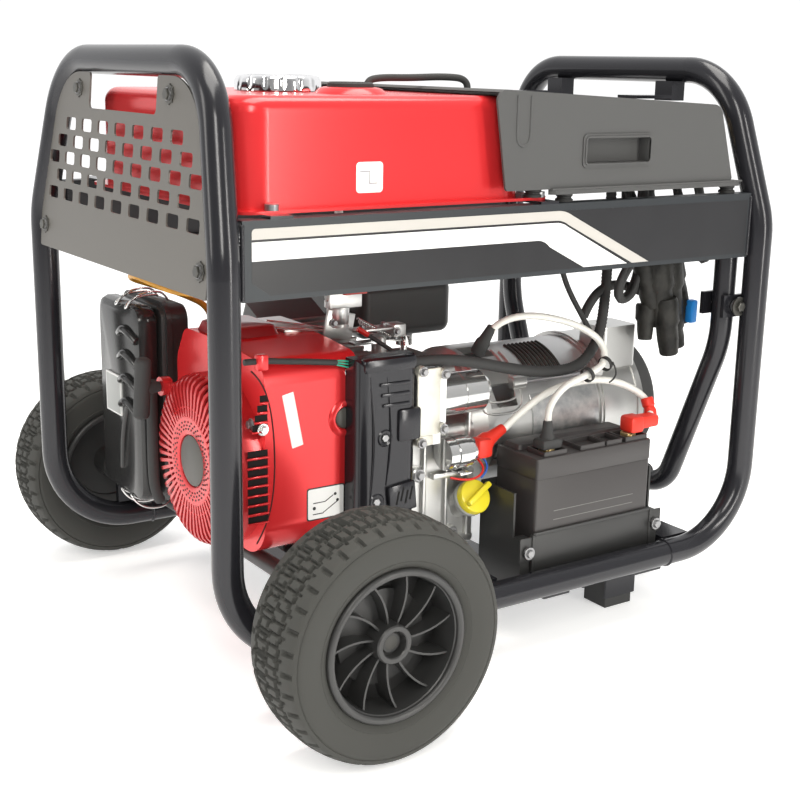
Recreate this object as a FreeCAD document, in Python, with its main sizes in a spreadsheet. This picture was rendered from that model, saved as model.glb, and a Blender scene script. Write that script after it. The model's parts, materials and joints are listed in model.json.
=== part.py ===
"""Engine driven welder: an open tube frame on two wheels that carries a petrol
engine, a welding alternator, a fuel tank, a control box and a starter battery.

Millimetres. +Z up, +X from the recoil starter to the alternator end, -Y to the
side with the battery. The origin is on the ground, under the middle of the frame.
"""
import FreeCAD, Part
import math
import os
import re

V = FreeCAD.Vector
X, Y, Z = V(1, 0, 0), V(0, 1, 0), V(0, 0, 1)

DIMENSIONS = {
    # frame
    "tube_od": 32, "tube_wall": 2.5, "half_len": 368, "half_wid": 243, "rail_mid": 81,
    "base_bend": 100, "lean_from": 490, "hoop_top": 670, "hoop_top_len": 350,
    "hoop_top_wid": 190.6, "top_bend": 88, "rail_half": 240,
    "channel_low": 448, "channel_high": 526, "channel_depth": 20, "channel_half": 348,
    "sheet_gauge": 2, "cross_top": 94, "cross_height": 28, "cross_width": 44,
    # running gear
    "wheel_x": -256, "wheel_y": 344.5, "tyre_rad": 126, "tyre_half": 42.5, "bead_rad": 79,
    "axle_rad": 10, "axle_half": 369, "hub_rad": 22, "run_gap": 0.05, "spokes": 10,
    "foot_x": 212, "foot_y": 176, "foot_len": 44, "foot_wid": 40, "foot_high": 36,
    # tank
    "tank_left": -338, "tank_right": 20, "tank_front": -215, "tank_back": 137,
    "tank_low": 532, "tank_high": 640, "cap_x": -197, "cap_y": -40, "cap_rad": 48,
    # control box
    "cover_left": -45, "cover_right": 293, "cover_low": 541, "cover_high": 648,
    "cover_half": 235, "cover_gauge": 3, "panel_x": 278,
    # engine and alternator share one shaft line
    "crank_y": -50, "crank_z": 236, "shaft_rad": 15, "alternator_rad": 94,
    "bell_x": 15, "stator_x": 100, "end_x": 215, "end_cap_x": 288, "end_cap_end": 325,
    "shroud_x": -274, "shroud_end": -155, "recoil_x": -312, "recoil_rad": 98,
    "case_left": -155, "case_low": 106, "case_near": -138, "case_far": 30,
    "cylinder_lean": 25, "fin_side": 108, "fin_count": 9,
    # battery and pull handle
    "battery_x": 44, "battery_len": 181, "battery_wid": 77, "battery_high": 167,
    "battery_front": -223, "battery_low": 68,
    "handle_x": 347, "handle_rad": 14, "pivot_high": 385, "pivot_y": 212,
}

doc = FreeCAD.newDocument("engine_driven_welder")
sheet = doc.addObject("Spreadsheet::Sheet", "Dims")
for row, (alias, number) in enumerate(DIMENSIONS.items(), start=1):
    sheet.set(f"A{row}", alias)
    sheet.set(f"B{row}", str(number))
    sheet.setAlias(f"B{row}", alias)
doc.recompute()

WORDS = re.compile(r"[a-z]+(?:_[a-z]+)+|spokes")
NODES = []


def dim(alias):
    """Read one driving dimension back from the sheet."""
    return float(getattr(sheet, alias))


def bind(obj, **sizes):
    """Set sizes: a string is a formula in the sheet's aliases, a number stays as it is."""
    for prop, size in sizes.items():
        if isinstance(size, str):
            obj.setExpression(prop, WORDS.sub(lambda m: "Dims." + m.group(), size))
        else:
            setattr(obj, prop, size)
    return obj


def place(x=0, y=0, z=0, axis=Z, angle=0):
    return FreeCAD.Placement(V(x, y, z), FreeCAD.Rotation(axis, angle))


LOOK = {"x": (Y, 90), "y": (X, -90), "z": (Z, 0)}


def box(x, y, z, length, width, height):
    """A box from its lowest corner. Sizes may be formulas."""
    obj = doc.addObject("Part::Box", "box")
    obj.Placement = place(x, y, z)
    return bind(obj, Length=length, Width=width, Height=height)


def rod(along, x, y, z, radius, length):
    """A cylinder from its first end, along x, y or z."""
    obj = doc.addObject("Part::Cylinder", "rod")
    obj.Placement = place(x, y, z, *LOOK[along])
    return bind(obj, Radius=radius, Height=length)


def taper(along, x, y, z, first, second, length):
    obj = doc.addObject("Part::Cone", "taper")
    obj.Placement = place(x, y, z, *LOOK[along])
    return bind(obj, Radius1=first, Radius2=second, Height=length)


def fuse(*pieces):
    obj = doc.addObject("Part::MultiFuse", "fuse")
    obj.Shapes = list(pieces)
    return obj


def cut(base, *tools):
    obj = doc.addObject("Part::Cut", "cut")
    obj.Base = base
    obj.Tool = tools[0] if len(tools) == 1 else fuse(*tools)
    return obj


def group(*pieces):
    """Separate solids that share one node."""
    obj = doc.addObject("Part::Compound", "group")
    obj.Links = list(pieces)
    return obj


def rounded(base, radius, keep):
    """Fillet the edges that keep(edge) picks."""
    doc.recompute()
    obj = doc.addObject("Part::Fillet", "rounded")
    obj.Base = base
    obj.Edges = [(i, radius, radius) for i, edge in enumerate(base.Shape.Edges, 1) if keep(edge)]
    return obj


def runs_along(direction):
    """Pick straight edges along one direction."""
    def keep(edge):
        line = isinstance(edge.Curve, Part.Line)
        return line and abs(edge.Curve.Direction.normalize().dot(direction)) > 0.999
    return keep


def node(label, obj):
    """Name a finished sub-part."""
    obj.Label = label
    NODES.append(obj)
    return obj


def corner_path(points, closed=False):
    """Straight runs joined by tangent arcs. A point is (position, arc radius)."""
    count = len(points)
    edges, spot = [], None
    first = None
    for i, (here, radius) in enumerate(points):
        end = not closed and i in (0, count - 1)
        if end or not radius:
            enter = leave = here
            arc = None
        else:
            before = (points[i - 1][0] - here).normalize()
            after = (points[(i + 1) % count][0] - here).normalize()
            half = before.getAngle(after) / 2
            reach = radius / math.tan(half)
            enter, leave = here + before * reach, here + after * reach
            middle = (before + after).normalize() * (radius / math.sin(half) - radius)
            arc = Part.Arc(enter, here + middle, leave).toShape()
        if spot is not None and spot.distanceToPoint(enter) > 1e-6:
            edges.append(Part.LineSegment(spot, enter).toShape())
        if arc is not None:
            edges.append(arc)
        spot = leave
        first = first or enter
    if closed and spot.distanceToPoint(first) > 1e-6:
        edges.append(Part.LineSegment(spot, first).toShape())
    return Part.Wire(edges)


def pipe(points, outside, inside=0):
    """Sweep a round section along a cornered path, hollow where inside is given."""
    path = corner_path(points)
    start = path.Edges[0]
    at, heading = start.valueAt(start.FirstParameter), start.tangentAt(start.FirstParameter)

    def swept(radius):
        ring = Part.Wire([Part.makeCircle(radius, at, heading)])
        return path.makePipeShell([ring], True, True)

    solid = swept(outside)
    return solid.cut(swept(inside)) if inside else solid


def shaped(shape):
    """Hold a shape made by Part's own functions."""
    obj = doc.addObject("Part::Feature", "shaped")
    obj.Shape = shape
    obj.Placement = shape.Placement
    return obj


def cable(points, diameter):
    """A lead through hand-set points, each bend as large as its two runs allow."""
    spots = [V(*point) for point in points]
    bends = [(spots[0], 0)]
    for a, b, c in zip(spots, spots[1:], spots[2:]):
        turn = (b - a).getAngle(c - b)
        shorter = min(a.distanceToPoint(b), b.distanceToPoint(c))
        bends.append((b, 0.45 * shorter / math.tan(turn / 2)))
    bends.append((spots[-1], 0))
    solid = pipe(bends, diameter / 2)
    radii = ", ".join(f"{radius:.0f}" for _, radius in bends[1:-1])
    print(f"lead {diameter} mm across, bend radii {radii}")
    return shaped(solid)


def sketched(label, plane, outlines, where=None):
    """A body with one sketch. An outline is a list of (u, v, corner radius)."""
    body = doc.addObject("PartDesign::Body", label + "_body")
    sketch = body.newObject("Sketcher::SketchObject", label + "_sketch")
    base = [f for f in body.Origin.OriginFeatures if f.Role == plane][0]
    sketch.AttachmentSupport = [(base, "")]
    sketch.MapMode = "FlatFace"
    for outline in outlines:
        wire = corner_path([(V(u, v, 0), r) for u, v, r in outline], closed=True)
        for edge in wire.Edges:
            curve = edge.Curve
            trimmed = curve.trim(edge.FirstParameter, edge.LastParameter) \
                if isinstance(curve, Part.Circle) else \
                Part.LineSegment(edge.Vertexes[0].Point, edge.Vertexes[-1].Point)
            sketch.addGeometry(trimmed)
    if where:
        body.Placement = where
    return body, sketch


def pad(label, plane, outlines, length, where=None, middle=False):
    """Extrude outlines drawn in XY, XZ or YZ."""
    body, sketch = sketched(label, plane + "_Plane", outlines, where)
    feature = body.newObject("PartDesign::Pad", label + "_pad")
    feature.Profile = sketch
    bind(feature, Length=length)
    feature.Midplane = middle
    body.Tip = feature
    return body


def lathe(label, outlines, where=None):
    """Turn outlines of (radius, height, corner) about the sketch's vertical axis, which is Z."""
    body, sketch = sketched(label, "XZ_Plane", outlines, where)
    feature = body.newObject("PartDesign::Revolution", label + "_turned")
    feature.Profile = sketch
    feature.ReferenceAxis = (sketch, ["V_Axis"])
    feature.Angle = 360
    body.Tip = feature
    return body


def mirrored_y(obj):
    """The same piece on the other side of the XZ plane."""
    other = doc.addObject("Part::Mirroring", "mirrored")
    other.Source = obj
    other.Normal = Y
    return other


def around(count, make):
    return [make(360.0 * i / count) for i in range(count)]


# ---------------------------------------------------------------- frame
tube_rad = dim("tube_od") / 2
bore_rad = tube_rad - dim("tube_wall")


def hoop(side):
    """One end hoop: rail stub, lower bend, leg, inward lean, top bar and back down."""
    end, wide, low = side * dim("half_len"), dim("half_wid"), dim("rail_mid")
    start, lean = side * dim("rail_half"), dim("lean_from")
    top = V(side * dim("hoop_top_len"), dim("hoop_top_wid"), dim("hoop_top"))
    lean_bend = 120
    far = [(V(start, wide, low), 0), (V(end, wide, low), dim("base_bend")),
           (V(end, wide, lean), lean_bend), (top, dim("top_bend"))]
    near = [(V(p.x, -p.y, p.z), r) for p, r in reversed(far)]
    return pipe(far + near, tube_rad, bore_rad)


node("hoop_left", shaped(hoop(-1)))
node("hoop_right", shaped(hoop(1)))

rails = []
for side in (-1, 1):
    ends = ("x", -dim("rail_half"), side * dim("half_wid"), dim("rail_mid"))
    outer = rod(*ends, "tube_od / 2", "2 * rail_half")
    rails.append(cut(outer, rod(*ends, "tube_od / 2 - tube_wall", "2 * rail_half")))
node("lower_rails", group(*rails))


def side_channel():
    """Folded C channel between the legs, open towards the engine."""
    low, face = dim("channel_low"), -dim("half_wid")
    gauge = dim("sheet_gauge")
    outer = box(-dim("channel_half"), face, low,
                "2 * channel_half", "channel_depth", "channel_high - channel_low")
    inner = box(-dim("channel_half"), face + gauge, low + gauge,
                "2 * channel_half", "channel_depth", "channel_high - channel_low - 2 * sheet_gauge")
    return cut(outer, inner)


near_channel = side_channel()
node("side_channels", group(near_channel, mirrored_y(near_channel)))

CROSS_X = (-160, -35, 275)
cross_gauge = 3


def cross_member(x):
    """Inverted U channel across the frame, its ends on the lower rails."""
    reach = dim("half_wid") - tube_rad
    low = dim("cross_top") - dim("cross_height")
    outer = box(x - dim("cross_width") / 2, -reach, low,
                "cross_width", "2 * half_wid - tube_od", "cross_height")
    inner = box(x - dim("cross_width") / 2 + cross_gauge, -reach, low,
                f"cross_width - {2 * cross_gauge}", "2 * half_wid - tube_od",
                f"cross_height - {cross_gauge}")
    return cut(outer, inner)


def flat_bar(x, z, width, thick):
    """A flat strip across the frame from side to side."""
    return box(x - width / 2, -dim("half_wid"), z, width, "2 * half_wid", thick)


foot_bar_thick = 5
foot_bar_low = dim("rail_mid") - tube_rad - foot_bar_thick
tank_bar_thick = 3
node("cross_members", group(
    *[cross_member(x) for x in CROSS_X],
    flat_bar(dim("foot_x"), foot_bar_low, 50, foot_bar_thick),
    flat_bar(66, foot_bar_low, 40, foot_bar_thick),
    flat_bar(-305, dim("channel_high"), 25, tank_bar_thick),
    flat_bar(28, dim("channel_high"), 25, tank_bar_thick)))

# ---------------------------------------------------------------- running gear
AXLE_Z = dim("tyre_rad")
axle_bar = rod("y", dim("wheel_x"), -dim("axle_half"), AXLE_Z, "axle_rad", "2 * axle_half")


def axle_plate(side):
    """Plate on top of a rail that the axle is welded through."""
    thick, length = 8, 60
    plate = box(dim("wheel_x") - length / 2, side * dim("half_wid") - thick / 2, 94,
                length, thick, AXLE_Z + 18 - 94)
    rail = rod("x", dim("wheel_x") - length, side * dim("half_wid"), dim("rail_mid"),
               "tube_od / 2", 2 * length)
    left, bend_start = dim("wheel_x") - length / 2, dim("base_bend") - dim("half_len")
    bend_room = box(left - 1, side * dim("half_wid") - thick, 93,
                    bend_start - left + 1, 2 * thick, 6.2)
    hole = rod("y", dim("wheel_x"), side * dim("half_wid") - thick, AXLE_Z, "axle_rad", 2 * thick)
    return cut(plate, rail, bend_room, hole)


def foot_bracket(side):
    """Folded shoe above a rubber foot, under the flat bar."""
    gauge, overlap = 3, 22
    low, high = dim("foot_high") - overlap, foot_bar_low
    length, width = dim("foot_len") + 2 * gauge, dim("foot_wid") + 2 * gauge
    x, y = dim("foot_x") - length / 2, side * dim("foot_y") - width / 2
    shoe = box(x, y, low, length, width, high - low)
    room = box(x - 1, y + gauge, low, length + 2, width - 2 * gauge, dim("foot_high") - low)
    return cut(shoe, room)


PIN_RAD = 5


def handle_collar(side):
    """Bracket on a leg of the right hoop that holds the pull handle's pivot bolt."""
    y, z = side * dim("pivot_y"), dim("pivot_high")
    high, wide = 28, 40
    block = box(dim("handle_x") - 20, y - wide / 2, z - high / 2, 40, wide, high)
    leg = rod("z", dim("half_len"), side * dim("half_wid"), z - high, "tube_od / 2", 2 * high)
    swing = box(dim("handle_x") - 40, y - dim("handle_rad") - 0.6, z - high,
                80, "2 * handle_rad + 1.2", 2 * high)
    pin = rod("y", dim("handle_x"), y - wide, z, PIN_RAD, 2 * wide)
    return cut(cut(cut(block, swing), pin), leg)


def hanger(y, width):
    """Bracket from the top bar of the right hoop down to the control box."""
    top = box(dim("hoop_top_len") - 26, y - width / 2, 632, 22, width, 24)
    bar = rod("y", dim("hoop_top_len"), y - width, dim("hoop_top"), "tube_od / 2", 2 * width)
    arm = box(dim("hoop_top_len") - 90, y - width / 2, 634.5, 80, width, 4)
    return cut(fuse(top, arm), bar)


node("frame_brackets", group(
    axle_plate(-1), axle_plate(1), foot_bracket(-1), foot_bracket(1),
    handle_collar(-1), handle_collar(1), hanger(-106, 30), hanger(106, 30)))

feet = [box(dim("foot_x") - dim("foot_len") / 2, side * dim("foot_y") - dim("foot_wid") / 2, 0,
            "foot_len", "foot_wid", "foot_high") for side in (-1, 1)]


def tyre(side, label):
    """Treaded tyre: an open C section from bead to bead."""
    bead, half, tread = dim("bead_rad"), dim("tyre_half"), dim("tyre_rad")
    wall = 7
    outside = [(bead, -half + 8.4, 2), (bead + 21, -half, 14), (tread - 5, -half + 4, 8),
               (tread, -half + 16, 4), (tread, half - 16, 4), (tread - 5, half - 4, 8),
               (bead + 21, half, 14), (bead, half - 8.4, 2)]
    inside = [(bead, half - 8.4 - wall, 1), (bead + 19, half - wall, 10),
              (tread - 12, half - 10, 8), (tread - 8, half - 18, 4),
              (tread - 8, -half + 18, 4), (tread - 12, -half + 10, 8),
              (bead + 19, -half + wall, 10), (bead, -half + 8.4 + wall, 1)]
    where = place(dim("wheel_x"), side * dim("wheel_y"), AXLE_Z, X, -90)
    return node(label, lathe(label, [outside + inside], where))


HUB_MOUTH, HUB_FLOOR = 15.5, 16


def rim(side, label):
    """Moulded wheel centre: rim barrel, dished web with windows and a hub on the axle."""
    bead, half = dim("bead_rad"), dim("tyre_half")
    bore = dim("axle_rad") + dim("run_gap")
    flange = half - 4
    web_out = half - 26
    outline = [(bore, -30, 0), (dim("hub_rad"), -30, 2), (dim("hub_rad"), web_out - 9, 3),
               (bead - 12, web_out - 5, 5), (bead - 6, -flange + 4, 3), (bead + 3, -flange, 1),
               (bead + 3, -flange + 2.5, 0), (bead, -flange + 4, 1), (bead, flange - 4, 1),
               (bead + 3, flange - 2.5, 0), (bead + 3, flange, 1), (bead - 6, flange - 4, 3),
               (bead - 10, web_out + 3, 5), (dim("hub_rad") + 3, web_out, 3),
               (dim("hub_rad"), 33, 2), (HUB_MOUTH, 33, 1), (HUB_MOUTH, HUB_FLOOR, 0),
               (bore, HUB_FLOOR, 0)]
    turned = lathe(label + "_blank", [outline])

    def window(angle):
        hole = rod("z", 0, 0, -20, 9, 60)
        spin = FreeCAD.Rotation(Z, angle)
        hole.Placement = FreeCAD.Placement(spin.multVec(V(48, 0, -20)), spin)
        return hole

    wheel = cut(turned, *around(int(dim("spokes")), window))
    wheel.Placement = place(dim("wheel_x"), side * dim("wheel_y"), AXLE_Z, X, -90 * side)
    return node(label, wheel)


tyre(-1, "tyre_front")
rim(-1, "rim_front")
tyre(1, "tyre_back")
rim(1, "rim_back")


def axle_end(side):
    """Retaining ring in the mouth of a wheel hub."""
    inner, thick = dim("wheel_y") + HUB_FLOOR + 0.4, 5
    start = inner if side > 0 else -inner - thick
    x = dim("wheel_x")
    ring = rod("y", x, start, AXLE_Z, 14.5, thick)
    hole = rod("y", x, start - 10, AXLE_Z, "axle_rad", 40)
    return cut(ring, hole)


node("axle", group(axle_bar, axle_end(-1), axle_end(1)))

# ---------------------------------------------------------------- perforated end panel
PANEL_LEAN = 5.0
PANEL_FOOT = (-379.2, 450)


def panel_outline():
    """Panel edge: straight foot, legs' inner line and a rounded top, open at the tank."""
    gap = tube_rad - 1
    lean_tan = math.tan(math.radians(16.2))
    foot, top, lean = 0, 207, 42
    wide = dim("half_wid") - gap - 1
    shoulder = wide - lean_tan * (top - lean)
    notch, notch_floor = 90, 168
    right = [(notch, notch_floor, 6), (notch, top, 4), (shoulder, top, 74),
             (wide, lean, 60), (wide, foot, 4)]
    return [(-u, v, r) for u, v, r in reversed(right)] + right


def perforated_panel():
    """Sheet with five staggered rows of slots."""
    outline = panel_outline()
    slot_wid, slot_high, pitch = 29, 14, 47.5
    slots = []
    for count, height in ((7, 148.5), (8, 128.5), (9, 109), (8, 88), (9, 67)):
        for i in range(count):
            mid = (i - (count - 1) / 2) * pitch
            a, b = mid - slot_wid / 2, mid + slot_wid / 2
            low, high = height - slot_high / 2, height + slot_high / 2
            slots.append([(a, low, 3.5), (b, low, 3.5), (b, high, 3.5), (a, high, 3.5)])
    return pad("perforated_panel", "YZ", [outline] + slots, "sheet_gauge")


PANEL_PLACE = place(PANEL_FOOT[0], 0, PANEL_FOOT[1], Y, PANEL_LEAN)
end_panel = perforated_panel()
end_panel.Placement = PANEL_PLACE
node("perforated_panel", end_panel)
PANEL_BOLTS = [(side * y, v) for side in (-1, 1) for y, v in ((212, 26), (121, 189))]

# ---------------------------------------------------------------- fuel tank
def fuel_tank():
    """Pressed tank with a seam flange, a filler neck and an outlet stub."""
    left, right = dim("tank_left"), dim("tank_right")
    front, back = dim("tank_front"), dim("tank_back")
    low, gauge = dim("tank_low"), 2.0
    shell = box(left, front, low, "tank_right - tank_left", "tank_back - tank_front",
                "tank_high - tank_low")
    shell = rounded(shell, 34, runs_along(Z))
    shell = rounded(shell, 16, lambda e: e.BoundBox.ZMin > dim("tank_high") - 1)
    flange = box(left - 8, front - 13, low - 3, right - left + 35, back - front + 26, 3)
    flange = rounded(flange, 25, runs_along(Z))
    x, y = dim("cap_x"), dim("cap_y")
    neck = rod("z", x, y, dim("tank_high") - 4, 36, 9)
    outlet = rod("z", OUTLET_X, OUTLET_Y, low - 23, 6, 24)
    room = box(left + gauge, front + gauge, low, right - left - 2 * gauge,
               back - front - 2 * gauge, f"tank_high - tank_low - {gauge}")
    room = rounded(room, 32, runs_along(Z))
    room = rounded(room, 14, lambda e: e.BoundBox.ZMin > dim("tank_high") - gauge - 1)
    mouth = rod("z", x, y, dim("tank_high") - 20, 32, 40)
    drain = rod("z", OUTLET_X, OUTLET_Y, low - 40, 3.5, 60)
    gauge_hole = rod("z", GAUGE_X, GAUGE_Y, dim("tank_high") - 10, 17, 20)
    return cut(fuse(shell, flange, neck, outlet), room, mouth, drain, gauge_hole)


OUTLET_X, OUTLET_Y = -130, -60
GAUGE_X, GAUGE_Y = -158, -128
node("fuel_tank", fuel_tank())


def fuel_cap():
    """Turned cap: a skirt outside the neck and a plug inside it."""
    x, y, top = dim("cap_x"), dim("cap_y"), dim("tank_high")
    rad = dim("cap_rad")
    outline = [(0, 18, 0), (rad - 8, 18, 5), (rad, 13, 4), (rad, 0.5, 1), (36.5, 0.5, 0),
               (36.5, 5.5, 0), (31.5, 5.5, 0), (31.5, -6, 0), (0, -6, 0)]
    return lathe("fuel_cap", [outline], place(x, y, top))


node("fuel_cap", fuel_cap())


def fuel_gauge():
    """Float gauge head let into the tank top, with its arm below."""
    top = dim("tank_high")
    head = rod("z", GAUGE_X, GAUGE_Y, top, 25, 9)
    boss = rod("z", GAUGE_X, GAUGE_Y, top - 12, 16.5, 12)
    arm = box(GAUGE_X - 2, GAUGE_Y - 2, top - 60, 4, 4, 50)
    arc = box(GAUGE_X + 2, GAUGE_Y - 2, top - 60, 46, 4, 4)
    ball = rod("z", GAUGE_X + 58, GAUGE_Y, top - 66, 13, 16)
    return fuse(head, boss, arm, arc, ball)


node("fuel_gauge", fuel_gauge())

# ---------------------------------------------------------------- control box
LIP_LOW = dim("cover_low") - 6


def control_cover():
    """Moulded cover open underneath and towards the tank, with a hand pocket."""
    left, right = dim("cover_left"), dim("cover_right")
    low, high = dim("cover_low"), dim("cover_high")
    half, gauge = dim("cover_half"), dim("cover_gauge")
    sag = 17
    outer = [(left, high, 12), (right, high - sag, 16), (right + 28, low, 4), (left + 17, low, 4)]
    inner = [(left - 5, high - gauge, 0), (right - gauge, high - sag - gauge, 14),
             (right + 28 - gauge, low - 5, 0), (left - 5, low - 5, 0)]
    shell = pad("cover_shell", "XZ", [outer], "2 * cover_half", middle=True)
    room = pad("cover_room", "XZ", [inner], "2 * cover_half - 2 * cover_gauge", middle=True)
    lip = box(32, -half - 3, LIP_LOW, 306, 2 * half + 6, 6)
    lip = rounded(lip, 12, runs_along(Z))
    lip_room = box(20, -half + gauge, LIP_LOW - 5, right + 28 - gauge - 20, 2 * half - 2 * gauge, 20)
    window = box(right - 20, -205, low + 9, 80, 410, high - low - 48)
    pocket_x, pocket_z, pocket_len, pocket_high, pocket_deep = 83, 568, 96, 27, 16
    tub = box(pocket_x - gauge, -half + 1, pocket_z - gauge,
              pocket_len + 2 * gauge, pocket_deep + gauge, pocket_high + 2 * gauge)
    pocket = box(pocket_x, -half - 5, pocket_z, pocket_len, pocket_deep + 5, pocket_high)
    return cut(fuse(cut(fuse(shell, lip), room, lip_room, window), tub), pocket)


node("control_cover", control_cover())

PANEL_LOW, PANEL_HIGH, PANEL_HALF = 546, 622, 202
TERMINAL_Y, SOCKET_Y, KNOB_Y, KEY_Y, BREAKER_Y = (-160, -105), (110, 160), -45, 5, 55
PANEL_MID = 584


def control_panel():
    """Steel plate that carries the controls, facing the alternator end."""
    x, thick = dim("panel_x"), 2.5
    plate = box(x, -PANEL_HALF, PANEL_LOW, thick, 2 * PANEL_HALF, PANEL_HIGH - PANEL_LOW)
    foot = box(x - 60, -PANEL_HALF, PANEL_LOW, 60, 2 * PANEL_HALF, thick)
    holes = [rod("x", x - 5, y, PANEL_MID, r, 10) for y, r in
             ((TERMINAL_Y[0], 11), (TERMINAL_Y[1], 11), (KNOB_Y, 4.1), (KEY_Y, 8.1),
              (BREAKER_Y, 5.1), (SOCKET_Y[0], 19), (SOCKET_Y[1], 19))]
    return cut(fuse(plate, foot), *holes)


node("control_panel", control_panel())


def weld_terminal(y):
    """Insulated stud with a flange washer and a hexagon nut."""
    x = dim("panel_x")
    block = rod("x", x - 14, y, PANEL_MID, 11, 24)
    flange = rod("x", x + 2.5, y, PANEL_MID, 19, 8)
    stud = rod("x", x - 30, y, PANEL_MID, 6, 68)
    return fuse(block, flange, stud)


def socket(y):
    """Round mains socket with three slots."""
    x = dim("panel_x")
    body = fuse(rod("x", x - 26, y, PANEL_MID, 19, 30), rod("x", x + 2.5, y, PANEL_MID, 23, 6))
    slots = [box(x - 10, y + dy - 1.5, PANEL_MID + dz - 3, 40, 3, 6)
             for dy, dz in ((-7, 3), (7, 3), (0, -8))]
    return cut(body, *slots)


node("weld_terminals", group(*[weld_terminal(y) for y in TERMINAL_Y]))
node("power_sockets", group(*[socket(y) for y in SOCKET_Y]))

PANEL_FACE = dim("panel_x") + 2.5
knob_skirt = rod("x", PANEL_FACE + 0.5, KNOB_Y, PANEL_MID, 15, 4)
knob_grip = rod("x", PANEL_FACE + 4.5, KNOB_Y, PANEL_MID, 11, 14)
knob_mark = box(PANEL_FACE + 4.5, KNOB_Y - 1.5, PANEL_MID + 8, 14.5, 3, 5)
knob_stem = rod("x", PANEL_FACE - 20, KNOB_Y, PANEL_MID, 4, 22)
node("current_knob", fuse(knob_skirt, knob_grip, knob_mark, knob_stem))
key_barrel = rod("x", PANEL_FACE - 24, KEY_Y, PANEL_MID, 8, 28)
key_blade = box(PANEL_FACE + 2, KEY_Y - 1.2, PANEL_MID - 11, 24, 2.4, 22)
node("ignition_key", fuse(key_barrel, key_blade))
button = rod("x", PANEL_FACE - 14, BREAKER_Y, PANEL_MID, 5, 24)
node("breaker_button", button)
regulator = box(dim("panel_x") - 130, -60, 566, 90, 120, 30)
regulator_shelf = box(dim("panel_x") - 140, -70, PANEL_LOW + 2.5, 138, 140, 12)
node("voltage_regulator", fuse(regulator, regulator_shelf,
                               box(dim("panel_x") - 130, -60, 556, 90, 120, 12)))

# ---------------------------------------------------------------- engine
CY, CZ = dim("crank_y"), dim("crank_z")
CYLINDER_X = -98


def yz_pad(label, outline, x, length):
    """Extrude an outline in Y and Z along +X from x."""
    return pad(label, "YZ", [outline], length, place(x))


def crankcase():
    """Cast case: a low wide sump, a narrower top, a starter deck and feet."""
    left, low = dim("case_left"), dim("case_low")
    near, far = dim("case_near"), dim("case_far")
    length = dim("bell_x") - left
    outline = [(near, low, 4), (far, low, 4), (far, 250, 8), (far - 10, 322, 14),
               (near + 44, 322, 14), (near + 30, 262, 8), (near, 256, 10)]
    body = yz_pad("crankcase_body", outline, left, length)
    hollow = [(near + 7, low + 7, 4), (far - 7, low + 7, 4), (far - 7, 248, 8),
              (far - 16, 315, 12), (near + 50, 315, 12), (near + 37, 256, 6), (near + 7, 250, 8)]
    inside = yz_pad("crankcase_inside", hollow, left + 10, length - 20)
    bore = rod("x", left - 5, CY, CZ, "shaft_rad + run_gap", length + 10)
    neck = shaped(Part.makeCylinder(16, NECK_LENGTH, NECK_FOOT, NECK_AXIS))
    filler = shaped(Part.makeCylinder(12.1, 80, NECK_FOOT - NECK_AXIS * 30, NECK_AXIS))
    lug_left = box(left - 8, near, low, 8, far - near, 9)
    drain = rod("y", -90, near - 8, 124, 9, 10)
    spigot = Part.makeCylinder(40.5, 30, spot_on_cylinder(CYLINDER_START - 30), CYLINDER_AXIS)
    mouth = shaped(Part.makeCylinder(34, 60, spot_on_cylinder(CYLINDER_START - 55), CYLINDER_AXIS))
    seat = shaped(spigot)
    top_cut = shaped(cylinder_block_room())
    return cut(fuse(body, seat, lug_left, drain, neck), inside, bore, mouth, top_cut, filler)


NECK_AXIS = V(0, -0.87, 0.5).normalize()
NECK_FOOT = V(-3, dim("case_near") + 8, 154)
NECK_LENGTH = 34
CYLINDER_START = 84
CYLINDER_AXIS = V(0, math.cos(math.radians(dim("cylinder_lean"))),
                  math.sin(math.radians(dim("cylinder_lean"))))


def spot_on_cylinder(distance):
    return V(CYLINDER_X, CY, CZ) + CYLINDER_AXIS * distance


def cylinder_block_room():
    """The space the finned barrel takes, from its joint face outwards."""
    side = dim("fin_side") + 0.2
    block = Part.makeBox(side, 200, side, V(-side / 2, 0, -side / 2))
    block.Placement = FreeCAD.Placement(spot_on_cylinder(CYLINDER_START),
                                        FreeCAD.Rotation(X, dim("cylinder_lean")))
    return block


def on_cylinder(distance, shape):
    """Place a shape made along +Y from the crank's centre on the leaning barrel."""
    shape.Placement = FreeCAD.Placement(spot_on_cylinder(distance),
                                        FreeCAD.Rotation(X, dim("cylinder_lean")))
    return shape


def cylinder_head():
    """Barrel and head cast with cooling fins."""
    side, count = dim("fin_side"), int(dim("fin_count"))
    core = Part.makeBox(72, 92, 72, V(-36, 0, -36))
    pitch = 10
    fins = [Part.makeBox(side, 3, side, V(-side / 2, 4 + i * pitch, -side / 2))
            for i in range(count)]
    deck = Part.makeBox(side - 12, 7, side - 12, V(6 - side / 2, 85, 6 - side / 2))
    bore = Part.makeCylinder(34, 120, V(0, -40, 0), V(0, 1, 0))
    solid = core.multiFuse(fins + [deck]).cut(bore)
    plug_hole = Part.makeCylinder(5, 70, V(0, 62, -80), V(0, 0, 1))
    return on_cylinder(CYLINDER_START, solid.cut(plug_hole))


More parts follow.
